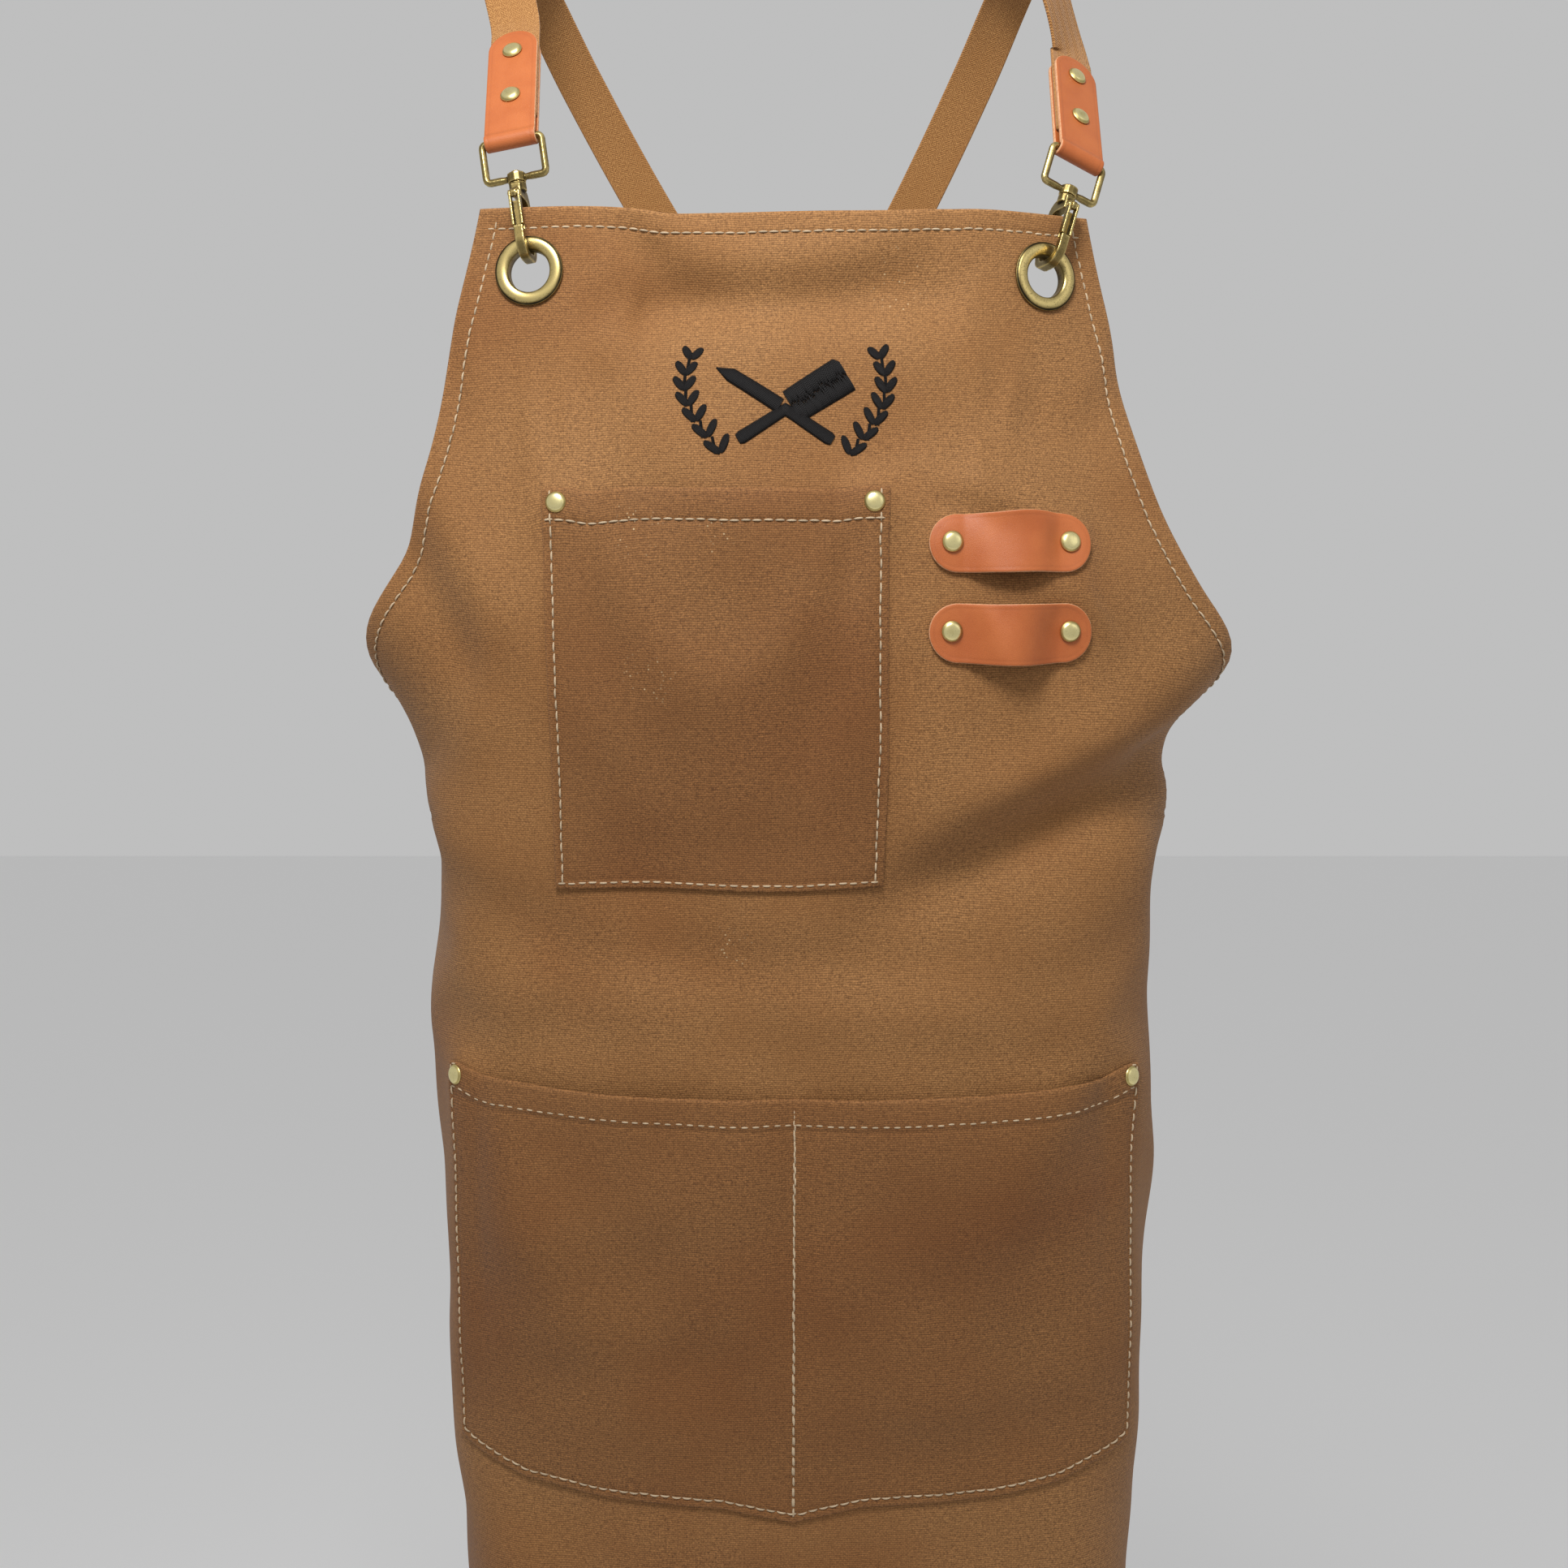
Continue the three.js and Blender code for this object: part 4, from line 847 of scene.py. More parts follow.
def chest_lift(u, v):
    left, right = CHEST["left"], CHEST["right"]
    across = (u - (left + right) / 2) / ((right - left) / 2 - POCKET_EDGE)
    return pocket_lift(CHEST, across, (v - CHEST["top"]) / (CHEST["height"] - POCKET_EDGE))


def lower_lift(u, v):
    middle = (LOWER["half"] - POCKET_EDGE) / 2
    return pocket_lift(LOWER, (np.abs(u) - middle) / middle, (v - LOWER["top"]) / LOWER["height"])


def pocket_sheet(name, place, lift, width, height):
    """A pocket from place(across, down), both in mm from its left and top edges."""
    columns = spaced(width, POCKET_STEP, POCKET_STEPS, POCKET_STEPS)
    rows = spaced(height, POCKET_STEP, MOUTH_STEPS, POCKET_STEPS)
    across, down = np.meshgrid(columns, rows)
    u, v = place(across, down)
    side = np.minimum(across, width - across)
    rim = np.minimum(side, height - down)
    distance = np.minimum(rim, down)
    edge = rolled_edge(distance, POCKET_RADIUS)
    seam = near(rim, SIDE_STITCH, STITCH_PULL) * (distance > 1)
    mouth_seam = near(down, MOUTH_STITCH, 1.0) * (side > 2)
    mouth_puff = MOUTH_PUFF * bulge(down, MOUTH_STITCH) * smoothstep(side, 0, 6)
    puff = SEAM_PUFF * bulge(rim, SIDE_STITCH) + mouth_puff
    inner = LAYER + lift(u, v)
    seams = SEAM_DRAWN * np.maximum(seam, mouth_seam)
    front = cloth(u, v, inner + HALF_CANVAS + (HALF_CANVAS + puff) * edge - seams)
    hem = 1 - smoothstep(down, MOUTH_STITCH + 1, MOUTH_STITCH + 2)
    turned = 0.5 * hem * smoothstep(lift(u, v), 0.5, 3)
    back = cloth(u, v, inner + HALF_CANVAS - (HALF_CANVAS + turned) * edge)
    fields = {"edge": 1 - smoothstep(distance, 0.5, 2.4), "dust": dust_at(u, v)}
    flat = np.stack([u, v], -1)
    piece = closed_sheet(name + "_cloth", front, back, flat, POCKET_CANVAS, fields=fields)
    return belongs(piece, replaces=[name])


def sew_pocket(name, place, lift, runs):
    """A pocket's stitches, along lines given by how far across and down it they are."""

    def top(u, v):
        return LAYER + lift(u, v) + 2 * HALF_CANVAS + THREAD_CLEAR

    lines = [np.column_stack(place(*np.broadcast_arrays(across, down))) for across, down in runs]
    return belongs(sew(name + "_stitches", lines, top, CREAM_THREAD))


def chest_place(across, down):
    """Where a point of the chest pocket is on the panel. The pocket narrows towards its foot."""
    p = CHEST
    width = p["right"] - p["left"]
    taper = p["taper"] * down / p["height"]
    return p["left"] + taper + across * (width - 2 * taper) / width, p["top"] + down


def lower_bottom(u):
    """How far down the lower pocket reaches at this distance from the middle."""
    half, clip, corner = LOWER["half"], LOWER["clip"], LOWER["half"] - LOWER_TAPER
    at = [0, half * 0.19, half - 2 * clip, corner - clip, corner]
    shares = np.array([1, 0.77, 0.68, 0.52, 0])
    return LOWER["top"] + LOWER["height"] + LOWER["point"] * np.interp(np.abs(u), at, shares)


def lower_mouth(u):
    """The height of the lower pocket's mouth, which sags towards its middle."""
    return LOWER["top"] + LOWER["sag"] * (1 - np.clip(np.abs(u) / LOWER["half"], 0, 1) ** 2.2)


LOWER_DEPTH = LOWER["height"] + LOWER["point"] * 0.6
LOWER_TAPER = 6


def lower_place(across, down):
    """Where a point of the lower pocket is on the panel. Its hems keep their width."""
    half = LOWER["half"]
    share = down / LOWER_DEPTH
    u = (across - half) / half * (half - LOWER_TAPER * share)
    top, bottom = lower_mouth(u), lower_bottom(u)
    hem = MOUTH_STEPS[-1]
    from_top = np.clip(down, 0, hem)
    rest = (bottom - top - hem - POCKET_STEPS[-1]) / (LOWER_DEPTH - hem - POCKET_STEPS[-1])
    middle = np.clip(down - hem, 0, LOWER_DEPTH - hem - POCKET_STEPS[-1]) * rest
    return u, top + from_top + middle + np.clip(down - LOWER_DEPTH + POCKET_STEPS[-1], 0, None)


def make_chest_pocket():
    width, height = CHEST["right"] - CHEST["left"], CHEST["height"]
    pocket = pocket_sheet("chest_pocket", chest_place, chest_lift, width, height)
    side, low = SIDE_STITCH, height - SIDE_STITCH + 1.2
    down = np.linspace(1.5, low + 1, 50)
    along = np.linspace(side - 3, width - side + 3, 40)
    runs = [(side, down), (width - side, down), (along, low), (along, MOUTH_STITCH)]
    return pocket, sew_pocket("chest_pocket", chest_place, chest_lift, runs)


def make_lower_pocket():
    width = 2 * LOWER["half"]
    pocket = pocket_sheet("lower_pocket", lower_place, lower_lift, width, LOWER_DEPTH)
    side, low = SIDE_STITCH - 1, LOWER_DEPTH - SIDE_STITCH
    down = np.linspace(1.5, low, 60)
    along = np.linspace(side, width - side, 90)
    runs = [(side, down), (width - side, down), (along, low), (along, LOWER_MOUTH_STITCH)]
    for shift, start in ((0, 4), (0.4, 6.5)):
        runs.append((width / 2 + shift, np.linspace(start, LOWER_DEPTH - 2, 60)))
    corner = np.array([side, side + 5, side + 9])
    runs += [(across, np.array([1.6, 1.0, 2.6])) for across in (corner, width - corner)]
    return pocket, sew_pocket("lower_pocket", lower_place, lower_lift, runs)


# ---- Leather ----
def leather_sheet(name, front, back, distance, flat):
    """A leather piece, with its raw edges and its creased line marked for the material."""
    crease = near(distance, LEATHER_CREASE, 0.35)
    fields = {"edge": 1 - smoothstep(distance, 0.12, 0.5), "crease": crease}
    return closed_sheet(name, front, back, flat, LEATHER, fields=fields)


LEATHER_STEPS = [0, 0.15, 0.4, 0.8, 1.4, 1.9, 2.2, 2.5, 3.1, 4.2]
LEATHER_CREASE = 2.2  # from the edge to the creased line
LEATHER_RADIUS = 0.7


def rounded(distance, thick):
    """Half the thickness of a leather strip at this distance from its edge."""
    corner = np.clip(1 - distance / LEATHER_RADIUS, 0, 1)
    groove = 0.05 * near(distance, LEATHER_CREASE, 0.4)
    return thick / 2 - LEATHER_RADIUS * (1 - np.sqrt(np.clip(1 - corner**2, 0, 1))) - groove


def strip_shares(half):
    """Places across a round-ended strip from -1 to 1, close together near its edges."""
    share = 1 - np.array(LEATHER_STEPS + [7, 10, half]) / half
    return np.concatenate([-share, share[::-1][1:]])


def end_width(past, half):
    """Half the strip's width this far into its round end."""
    return np.sqrt(np.clip(half**2 - past**2, 0.001, None))


def make_holder(place):
    p = HOLDER
    radius, height = p["width"] / 2, HOLDER_HEIGHTS[place]
    x = np.sin(np.linspace(-1, 1, 97) * math.pi / 2) * p["length"] / 2
    straight = p["length"] / 2 - radius
    y = strip_shares(radius)[:, None] * end_width(np.clip(np.abs(x) - straight, 0, radius), radius)
    x = np.broadcast_to(x, y.shape)
    distance = np.clip(radius - np.hypot(np.clip(np.abs(x) - straight, 0, None), y), 0, None)
    span = p["length"] / 2 - p["rivet"] - 5
    arch = p["arch"] * np.cos(np.clip(np.abs(x) / span, 0, 1) * math.pi / 2) ** 1.5
    u, v = p["left"] + p["length"] / 2 + x, height - y
    middle = LAYER + arch + p["leather"] / 2
    half_thick = rounded(distance, p["leather"])
    front, back = cloth(u, v[::-1], middle + half_thick), cloth(u, v[::-1], middle - half_thick)
    piece = leather_sheet(place + "_holder_leather", front, back, distance, np.stack([u, v], -1))
    return belongs(piece, replaces=[place + "_leather_holder"])


LEANS = {"bib_left": -9, "bib_right": 20, "waist_left": -27, "waist_right": 27}
EYELET = {"bore": 10, "barrel": 10.9, "flange": 16.5, "lip": 14.2, "rise": 1.9, "seat": 0.75}
HANG = EYELET["bore"] - WIRE + 34  # from an eyelet's centre up to where its hook leaves the swivel


def cloth_frame(u, v, height=0.0):
    """Directions right, up and outward on the worn surface, and the point at this height over it."""
    u, v = np.array([float(u)]), np.array([float(v)])
    point, normal = worn(u, v)
    right = unit(worn(u + 0.5, v)[0] - worn(u - 0.5, v)[0])
    axes = np.stack([right[0], np.cross(normal[0], right[0]), normal[0]], 1)
    return axes, point[0] + normal[0] * height


def eyelet_place(place):
    """An eyelet's centre, in u and v."""
    across, down = EYELETS[place.split("_")[0]]
    return (-across if place.endswith("left") else across), down


def clip_frame(place):
    """The snap hook's frame in mm: X across, Y in to the body, Z up the strap."""
    axes, point = cloth_frame(*eyelet_place(place), 0.5)
    lean = math.radians(LEANS[place])
    up = axes[:, 1] * math.cos(lean) + axes[:, 0] * math.sin(lean)
    inward = -axes[:, 2]
    return np.stack([np.cross(inward, up), inward, up], 1), point + up * HANG


def tilted(axes, origin, tilt):
    """The frame at the loop's bar, leaning towards the body."""
    turn = np.array(Matrix.Rotation(-tilt, 3, "X"))
    return axes @ turn, origin + axes[:, 2] * BAR_HEIGHT


CLIPS = {place: clip_frame(place) for place in LEANS}


def tab_path():
    """The folded leather's middle line, from its front end down round the bar and up its back."""
    gap, radius = 2.4, 3.0
    start = math.asin(gap / radius)
    low = radius * math.cos(start)
    straight = spaced(TAB["length"] - low, 2.4, LEATHER_STEPS, [0])
    front = np.column_stack([np.full_like(straight, -gap), TAB["length"] - straight])
    angle = np.linspace(start, 2 * math.pi - start, 25)[1:-1]
    bend = np.column_stack([-radius * np.sin(angle), radius * np.cos(angle)])
    back = front[::-1] * (-1, 1)
    return np.concatenate([front, bend, back])


def make_tab(side):
    axes, origin = tilted(*CLIPS[STRAPS[side]["front"]], TAB["tilt"])
    path = tab_path()
    along = unit(np.gradient(path, axis=0))
    out = np.column_stack([along[:, 1], -along[:, 0]])
    half = WEBBING_WIDTH / 2
    past = np.clip(path[:, 1] - (TAB["length"] - half), 0, half)
    x = end_width(past, half)[:, None] * strip_shares(half)
    distance = np.clip(half - np.hypot(past[:, None], x), 0, None)
    half_thick = rounded(distance, TAB["leather"])
    faces = []
    for sign in (1, -1):
        place = path[:, None] + sign * out[:, None] * half_thick[..., None]
        local = np.concatenate([x[..., None], place], -1)
        faces.append(local @ axes.T + origin)
    flat = np.stack([x, np.broadcast_to(run_along(path)[:, None], x.shape)], -1)
    piece = leather_sheet(side + "_tab_leather", faces[0], faces[1], distance, flat)
    return belongs(piece, replaces=[side + "_leather_tab"])


# ---- Webbing ----
def strap_sections(side):
    """Centres, width directions and outward directions along a strap."""
    strap = STRAPS[side]
    a, a_bar = tilted(*CLIPS[strap["front"]], TAB["tilt"])
    b, b_bar = tilted(*CLIPS[strap["rear"]], REAR_TILT)
    fold = WIRE + 0.3 + WEBBING_THICK / 2
    shoulder, depth = strap["shoulder"], strap["depth"]

    def on_tab(t):
        return a_bar + a[:, 2] * t

    def on_rear(t, sign):
        return b_bar + b[:, 2] * t + b[:, 1] * sign * fold

    over = [((1, -36, -10), (0, -0.5, 0.87)), ((0.98, 0, 1), (0, 0, 1)), ((0.93, 36, -9), (0, 0.5, 0.87)),
            ((0.8, 66, -45), (0, 0.87, 0.5)), ((0.5, 92, -120), (0, 0.97, 0.2)),
            ((0, depth, -228), (0, 1, 0))]
    straight = STRAP_TAIL + 10
    route = [on_tab(TAB["length"] - 24), on_tab(TAB["length"] + 6)]
    route += [np.array([x * shoulder, y, z]) for (x, y, z), _ in over]
    route += [on_rear(straight, 1), on_rear(straight - 30, 1)]
    normals = [-a[:, 1]] * 2 + [np.array(n, float) for _, n in over] + [-b[:, 1]] * 2
    sections = [(on_tab(t), a[:, 0], -a[:, 1]) for t in np.linspace(14, TAB["length"] + 4, 26)]
    for t in np.linspace(1, len(route) - 2, 300)[4:]:
        ahead = spline_at(route, min(t + 0.01, len(route) - 1)) - spline_at(route, t - 0.01)
        width = unit(np.cross(ahead, spline_at(normals, t)))
        sections.append((spline_at(route, t), width, unit(np.cross(width, ahead))))
    sections += [(on_rear(t, 1), -b[:, 0], -b[:, 1]) for t in np.linspace(straight - 4, 0.1, 40)]
    for angle in np.linspace(0, math.pi, 17):
        direction = -b[:, 1] * math.cos(angle) + b[:, 2] * math.sin(angle)
        sections.append((b_bar - direction * fold, -b[:, 0], direction))
    sections += [(on_rear(t, -1), -b[:, 0], b[:, 1]) for t in np.linspace(0.1, STRAP_TAIL, 40)[1:]]
    return (np.array(part) for part in zip(*sections))


def make_strap(side):
    centres, across, out = strap_sections(side)
    inset = np.array([0, 0.15, 0.5, 1.0, 1.6, 2.2, 4, 6.5, 9.5, WEBBING_WIDTH / 2])
    x = np.concatenate([inset - WEBBING_WIDTH / 2, (WEBBING_WIDTH / 2 - inset)[::-1][1:]])
    distance = WEBBING_WIDTH / 2 - np.abs(x)
    corner = np.clip(1 - distance / WEBBING_RADIUS, 0, 1)
    selvedge = 0.16 * near(distance, 1.9, 0.4)
    thick = WEBBING_THICK / 2 - WEBBING_RADIUS * (1 - np.sqrt(1 - corner**2)) - selvedge
    middle = centres[:, None] + across[:, None] * x[None, :, None]
    lift = out[:, None] * thick[None, :, None]
    flat = np.stack(np.broadcast_arrays(x[None, :], run_along(centres)[:, None]), -1)
    piece = closed_sheet(side + "_webbing", middle + lift, middle - lift, flat, WEBBING)
    return belongs(piece, replaces=[side + "_webbing_strap"])


# ---- Metalwork ----
RIVET = {"cap": 5, "dome": 2.1, "post": 1.5, "burr": 3.8, "burr_thick": 0.9}
CLOTH_SEAT = 0.45
TAB_RIVETS = {"lower": 28, "upper": 61}
TAB_GRIP = 3.8  # from the middle of the folded tab to its rivets' caps
WASHER_THICK = 0.9
GATE_PIN = {"radius": 1.0, "half": 3.1}
LOOP_SWELL = 0.26  # how much thicker the loops are than the model's, away from their boss
METAL_VOXEL = 0.28


def neighbour_means(values, edges):
    """The mean of each vertex's neighbours, from the edges' pairs of vertices."""
    uses = np.bincount(edges.ravel(), minlength=len(values))[:, None]
    total = np.zeros_like(values)
    np.add.at(total, edges[:, 0], values[edges[:, 1]])
    np.add.at(total, edges[:, 1], values[edges[:, 0]])
    return total / np.maximum(uses, 1)


def lathe(name, profile, axes, origin, material, segments=48):
    """A turned piece from (radius, height, wear) along its profile."""
    profile = np.array(profile, float)
    angle = 2 * math.pi * np.arange(segments) / segments
    ring = np.stack([np.cos(angle), np.sin(angle)], 1)
    heights = np.repeat(profile[:, 1:2], segments, 1)
    local = np.concatenate([profile[:, None, :1] * ring[None], heights[..., None]], -1)
    points = local.reshape(-1, 3) @ axes.T + origin
    at = np.arange(len(points)).reshape(-1, segments)
    around = np.roll(at, -1, 1)
    closed = np.allclose(profile[0, :2], profile[-1, :2])
    if closed:
        at, around = np.concatenate([at[:-1], at[:1]]), np.concatenate([around[:-1], around[:1]])
        points, profile = points[:-segments], profile[:-1]
    faces = np.stack([at[:-1], around[:-1], around[1:], at[1:]], -1).reshape(-1, 4).tolist()
    if not closed:
        faces += [at[0][::-1].tolist(), at[-1].tolist()]
    return new_object(name, points, faces, material, {"wear_and_highlight": np.repeat(profile[:, 2], segments)})


def make_rivet(node, axes, origin, grip):
    """A domed cap, its post and the burr behind, which is as far below the cap's edge as the grip."""
    burr, post, cap, dome = (RIVET[size] for size in ("burr", "post", "cap", "dome"))
    end = -grip - RIVET["burr_thick"]
    profile = [(0.05, end, 0.4), (burr - 0.3, end, 0.6), (burr, end + 0.25, 0.8), (burr, -grip, 0.2),
               (post, -grip, 0.0), (post, -0.12, 0.0)]
    rim = [(0.35, -0.1, 0.15), (0, 0.12, 0.5), (0.08, 0.5, 0.6), (0.4, 0.85, 0.35), (0.85, 1.2, 0.45),
           (1.2, 1.5, 0.95), (1.6, 1.72, 0.95), (2.6, 1.95, 0.8), (3.8, 2.07, 0.75)]
    profile += [(cap - inset, height, wear_and_highlight) for inset, height, wear_and_highlight in rim]
    profile += [(0.5, dome, 0.75), (0.05, dome, 0.75)]
    return belongs(lathe(node + "_metal", profile, axes, origin, RIVET_HIGHLIGHT_BRASS), BODY, [node])


def make_cloth_rivets():
    for node, u, v, top in cloth_rivets():
        make_rivet(node, *cloth_frame(u, v, top), top + HALF_CANVAS + CLOTH_SEAT)


def make_tab_rivets():
    for side, strap in STRAPS.items():
        axes, bar = tilted(*CLIPS[strap["front"]], TAB["tilt"])
        out = np.stack([axes[:, 0], axes[:, 2], -axes[:, 1]], 1)
        for level, height in TAB_RIVETS.items():
            place = bar + axes[:, 2] * height - axes[:, 1] * TAB_GRIP
            make_rivet(f"{side}_tab_rivet_{level}", out, place, 2 * TAB_GRIP)


def make_eyelet(place):
    """An eyelet rolled over the cloth's front, with its lip turned out over a washer behind."""
    axes, point = cloth_frame(*eyelet_place(place))
    bore, barrel, flange, lip = (EYELET[size] for size in ("bore", "barrel", "flange", "lip"))
    low = HALF_CANVAS + EYELET["seat"]
    under = -low - WASHER_THICK - 0.3
    ring = []
    for share in np.linspace(0, 1, 31):
        angle = math.pi * (1 - share)
        groove = math.exp(-(((share - 0.8) / 0.07) ** 2))
        height = EYELET["rise"] * math.sin(angle) ** 0.75 - 0.22 * groove
        # The crest gets the highest wear value, which paints it lighter: a painted highlight as well as wear.
        # The value is lowest in the groove, which is darker.
        wear_and_highlight = 0.5 + 0.4 * math.sin(angle) ** 2 - 0.55 * groove
        ring.append(((bore + flange) / 2 + (flange - bore) / 2 * math.cos(angle), low + height, wear_and_highlight))
    start = (bore, under - 0.6, 0.3)
    profile = [
        start, (bore + 0.8, under - 1.2, 0.6), (lip - 0.8, under - 1.2, 0.7), (lip, under - 0.6, 0.8),
        (lip - 0.1, under, 0.3), (barrel, under, 0.1), (barrel, low, 0.0), (flange - 0.4, low, 0.2),
        *ring[::-1], start,
    ]
    eyelet = lathe(place + "_eyelet_metal", profile, axes, point, BRASS, 96)
    belongs(eyelet, replaces=[place + "_eyelet"])
    hole, edge = barrel + 0.3, flange - 1
    back = -WASHER_THICK
    corners = [(hole, back + 0.05, 0.3), (hole + 0.1, back, 0.5), (edge - 0.3, back, 0.6),
               (edge, back + 0.3, 0.8), (edge, -0.1, 0.5), (edge - 0.2, 0, 0.2), (hole, 0, 0.1),
               (hole, back + 0.05, 0.3)]
    profile = [(radius, height - low, wear_and_highlight) for radius, height, wear_and_highlight in corners]
    washer = lathe(place + "_washer_metal", profile, axes, point, BRASS, 96)
    belongs(washer, replaces=[place + "_eyelet_washer"])


def read_values(items, name, kind=float, size=3):
    """A mesh attribute as rows of this size."""
    values = np.empty(len(items) * size, kind)
    items.foreach_get(name, values)
    return values.reshape(-1, size)


def smoothed(node, voxel, rounds, material, body, swell=None):
    """A finer copy of a CAD solid with its edges rounded by use. swell gives how far each point grows."""
    mesh = NODES[node].data.copy()
    mesh.transform(Matrix.Scale(1 / MM, 4))
    copy = bpy.data.objects.new(node + "_metal", mesh)
    bpy.context.scene.collection.objects.link(copy)
    weld = copy.modifiers.new("weld", "WELD")
    weld.merge_threshold = 0.01
    remesh = copy.modifiers.new("remesh", "REMESH")
    remesh.mode, remesh.voxel_size = "VOXEL", voxel
    smooth = copy.modifiers.new("smooth", "SMOOTH")
    smooth.iterations, smooth.factor = rounds, 0.5
    result = bpy.data.meshes.new_from_object(copy.evaluated_get(bpy.context.evaluated_depsgraph_get()))
    bpy.data.objects.remove(copy)
    points, normals = read_values(result.vertices, "co"), read_values(result.vertices, "normal")
    edges = read_values(result.edges, "vertices", int, 2)
    out = ((points - neighbour_means(points, edges)) * normals).sum(1)[:, None]
    for _ in range(6):
        out = neighbour_means(out, edges)
    wear_and_highlight = np.clip(0.42 + out[:, 0] / voxel * 5.5, 0, 1)
    if swell:
        points = points + normals * swell(points)[:, None]
        result.vertices.foreach_set("co", points.ravel())
    result.transform(Matrix.Scale(MM, 4))
    result.attributes.new("wear_and_highlight", "FLOAT", "POINT").data.foreach_set("value", wear_and_highlight.astype(np.float32))
    result.materials.clear()
    result.materials.append(material)
    result.polygons.foreach_set("use_smooth", np.ones(len(result.polygons), bool))
    made = bpy.data.objects.new(node + "_metal", result)
    bpy.context.scene.collection.objects.link(made)
    return belongs(made, body, [node])


def make_clip(place):
    """The swivel loop, the hook, its gate, the gate's pin and its spring."""
    axes, origin = CLIPS[place]

    def swell(points):
        return LOOP_SWELL * smoothstep(np.abs((points - origin) @ axes[:, 0]), 5, 8)

    smoothed(place + "_swivel_loop", METAL_VOXEL, 5, BRASS, place + "_loop", swell)
    smoothed(place + "_hook", METAL_VOXEL, 5, BRASS, place + "_hook")
    smoothed(place + "_gate", 0.2, 3, BRASS, place + "_gate")
    turn = np.stack([axes[:, 1], axes[:, 2], axes[:, 0]], 1)
    radius, half = GATE_PIN["radius"], GATE_PIN["half"]
    profile = [(0.05, -half, 0.7), (0.6, -half, 0.8), (radius, -half + 0.35, 0.8), (radius, half - 0.35, 0.8),
               (0.6, half, 0.8), (0.05, half, 0.7)]
    pin = lathe(place + "_pin_metal", profile, turn, origin + axes @ np.array(PIVOT), BRASS, 24)
    belongs(pin, place + "_hook", [place + "_gate_pin"])
    smoothed(place + "_gate_spring", 0.16, 2, STEEL, place + "_gate")


# ---- Emblem: crossed blades between two ears of wheat, in satin stitch ----
EMBLEM_PLACE = (-3, 91)
EMBLEM_THREAD = 0.33
LEAVES = 7  # pairs on each ear
BLADE = [(3, -7.5), (31, -8.5), (33, -6), (33, 9), (6, 9), (3, 6)]
GRIP = [(-26, -2.4), (-24, -3.2), (1.5, -2.6), (1.5, 2.6), (-24, 3.2), (-26, 2.4)]
KNIFE = [(3, -3.6), (30, -3.4), (38, 0.5), (30, 3.2), (3, 3.6)]
BLADE_TURN = -32
STEM = [(-4, -0.7), (4, -0.7), (4, 0.7), (-4, 0.7)]


def turned_shape(points, angle, shift, flip):
    """An outline turned by an angle in degrees, mirrored where flip is -1, and then moved."""
    c, s = math.cos(math.radians(angle)), math.sin(math.radians(angle))
    return [((x * c - y * s) * flip + shift[0], x * s + y * c + shift[1]) for x, y in points]


def satin(outline, angle, gap=0.5):
    """Threads laid side by side across a shape at this angle, as pairs of end points."""
    a = math.radians(angle)
    along, off = np.array([math.cos(a), math.sin(a)]), np.array([-math.sin(a), math.cos(a)])
    p = np.array(outline)
    x, y = p @ along, p @ off
    nx, ny = np.roll(x, -1), np.roll(y, -1)
    lines = []
    for level in np.arange(y.min() + gap / 2, y.max(), gap):
        hit = (y > level) != (ny > level)
        cuts = np.sort(x[hit] + (level - y[hit]) * (nx[hit] - x[hit]) / (ny[hit] - y[hit]))
        for start, end in zip(cuts[::2], cuts[1::2]):
            parts = max(1, round((end - start) / 9))
            steps = np.linspace(start, end, parts + 1)
            if parts > 1:
                steps[1:-1] += rng.normal(0, 1.2, parts - 1)
            ends = [(s, e) for s, e in zip(steps, steps[1:]) if e - s > 0.5]
            lines += [(along * s + off * level, along * e + off * level) for s, e in ends]
    return lines


def leaf(length, width):
    """A leaf's outline, from its foot along one side to its tip and back."""
    t = np.linspace(0, math.pi, 9)
    upper = [(length * (1 - math.cos(a)) / 2, width / 2 * math.sin(a) ** 0.8) for a in t]
    return upper + [(x, -y) for x, y in upper[-2:0:-1]]


def ear_place(share, flip):
    """A point on an ear of wheat, from its foot at 0 to its tip at 1."""
    return flip * (30 + 17 * math.sin(share * 2.2)), 24 - 44 * share


def emblem_lines():
    lines = []
    for shape, flip in ((BLADE, 1), (GRIP, 1), (KNIFE, -1), (GRIP, -1)):
        lines += satin(turned_shape(shape, BLADE_TURN, (0, 4), flip), BLADE_TURN * flip + 90)
    for flip in (-1, 1):
        for i in range(LEAVES):
            share = i / (LEAVES - 1)
            for lean in (-38, 38):
                angle = -72 - 26 * share + lean
                shape = turned_shape(leaf(9.5 - 2 * share, 3.8), angle, ear_place(share, flip), flip)
                lines += satin(shape, angle * flip + 55 * flip, 0.46)
        for i in range(LEAVES - 1):
            share = (i + 0.5) / (LEAVES - 1)
            angle = -76 - 26 * share
            lines += satin(turned_shape(STEM, angle, ear_place(share, flip), flip), angle * flip + 90)
    return np.array(lines)


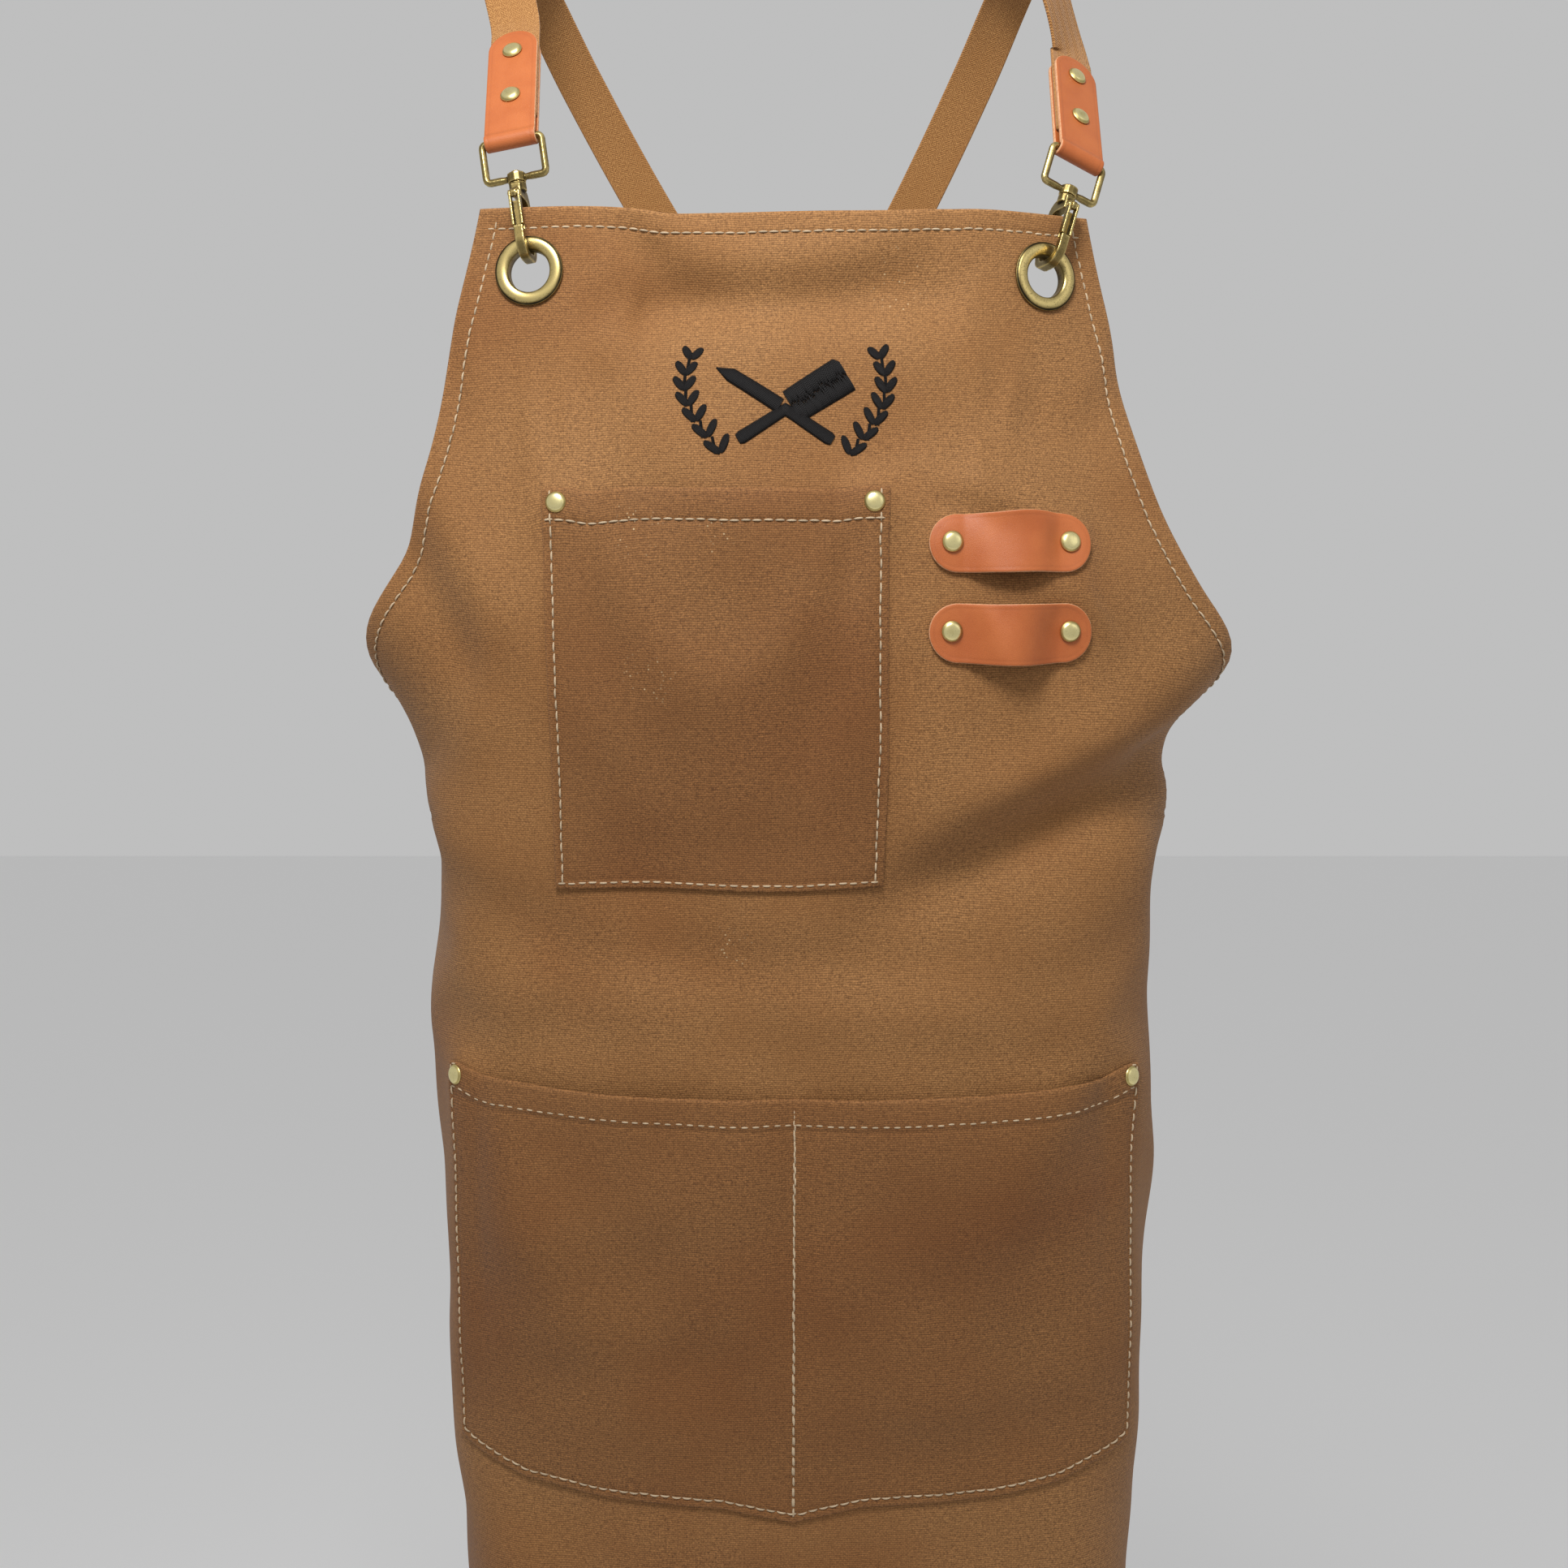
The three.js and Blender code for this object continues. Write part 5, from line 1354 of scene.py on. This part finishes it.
def make_emblem():
    ends = emblem_lines()
    share = np.linspace(0, 1, 7)[None, :, None]
    place = ends[:, :1] * (1 - share) + ends[:, 1:] * share
    u, v = place[..., 0] + EMBLEM_PLACE[0], place[..., 1] + EMBLEM_PLACE[1]
    length = np.linalg.norm(ends[:, 1] - ends[:, 0], axis=1)[:, None]
    rise = 0.72 + np.clip(0.1 * length, 0.15, 0.55) * np.sin(share[0, :, 0] * math.pi)[None] ** 0.7
    normal = cloth_axes(u, v)[2]
    emblem = threads("emblem_stitches", cloth(u, v, rise), normal, EMBLEM_THREAD, BLACK_THREAD, 5)
    return belongs(emblem)


# ---- Studio ----
FLOOR_HEIGHT, FLOOR_REACH = -1.45, 9
FLOOR_GREY = (0.92, 0.92, 0.92, 1)
AMBIENT = 0.52


def area_light(name, place, target, size, watts):
    lamp = bpy.data.lights.new(name, "AREA")
    lamp.shape = "RECTANGLE"
    lamp.size = lamp.size_y = size
    lamp.energy = watts
    made = bpy.data.objects.new(name, lamp)
    made.location = place
    made.rotation_euler = (Vector(target) - Vector(place)).to_track_quat("-Z", "Y").to_euler()
    bpy.context.scene.collection.objects.link(made)


def make_studio():
    material = Shader("studio_floor").set(Base_Color=FLOOR_GREY, Roughness=0.9)
    reach = FLOOR_REACH
    ground = ((-reach, -reach), (reach, -reach), (reach, reach), (-reach, reach))
    corners = [(x, y, FLOOR_HEIGHT) for x, y in ground]
    floor = new_object("studio_floor", np.array(corners) / MM, [(0, 1, 2, 3)], material)
    world = bpy.data.worlds.new("studio")
    world.use_nodes = True
    background = world.node_tree.nodes["Background"].inputs
    background["Color"].default_value = (1, 1, 1, 1)
    background["Strength"].default_value = AMBIENT
    bpy.context.scene.world = world
    area_light("key", (-0.12, -0.72, 0.36), (0.02, -0.1, -0.3), 0.3, 9.4)
    area_light("fill", (1.0, -1.0, 0.2), (0, 0, -0.45), 0.7, 0.8)
    bpy.context.scene.view_settings.view_transform = "Standard"
    bpy.context.scene.view_settings.look = "None"


# ---- Assembly ----
make_camera()
settled = simulate_settling()

panel = make_panel()
hem = make_hem_stitches()
chest, chest_stitches = make_chest_pocket()
lower, lower_stitches = make_lower_pocket()
emblem = make_emblem()
for place in HOLDER_HEIGHTS:
    make_holder(place)
for side in STRAPS:
    make_tab(side)
    make_strap(side)
    smoothed(side + "_strap_slider", METAL_VOXEL, 4, BRASS, side + "_slider")
make_cloth_rivets()
make_tab_rivets()
for place in CLIPS:
    make_eyelet(place)
    make_clip(place)

make_studio()
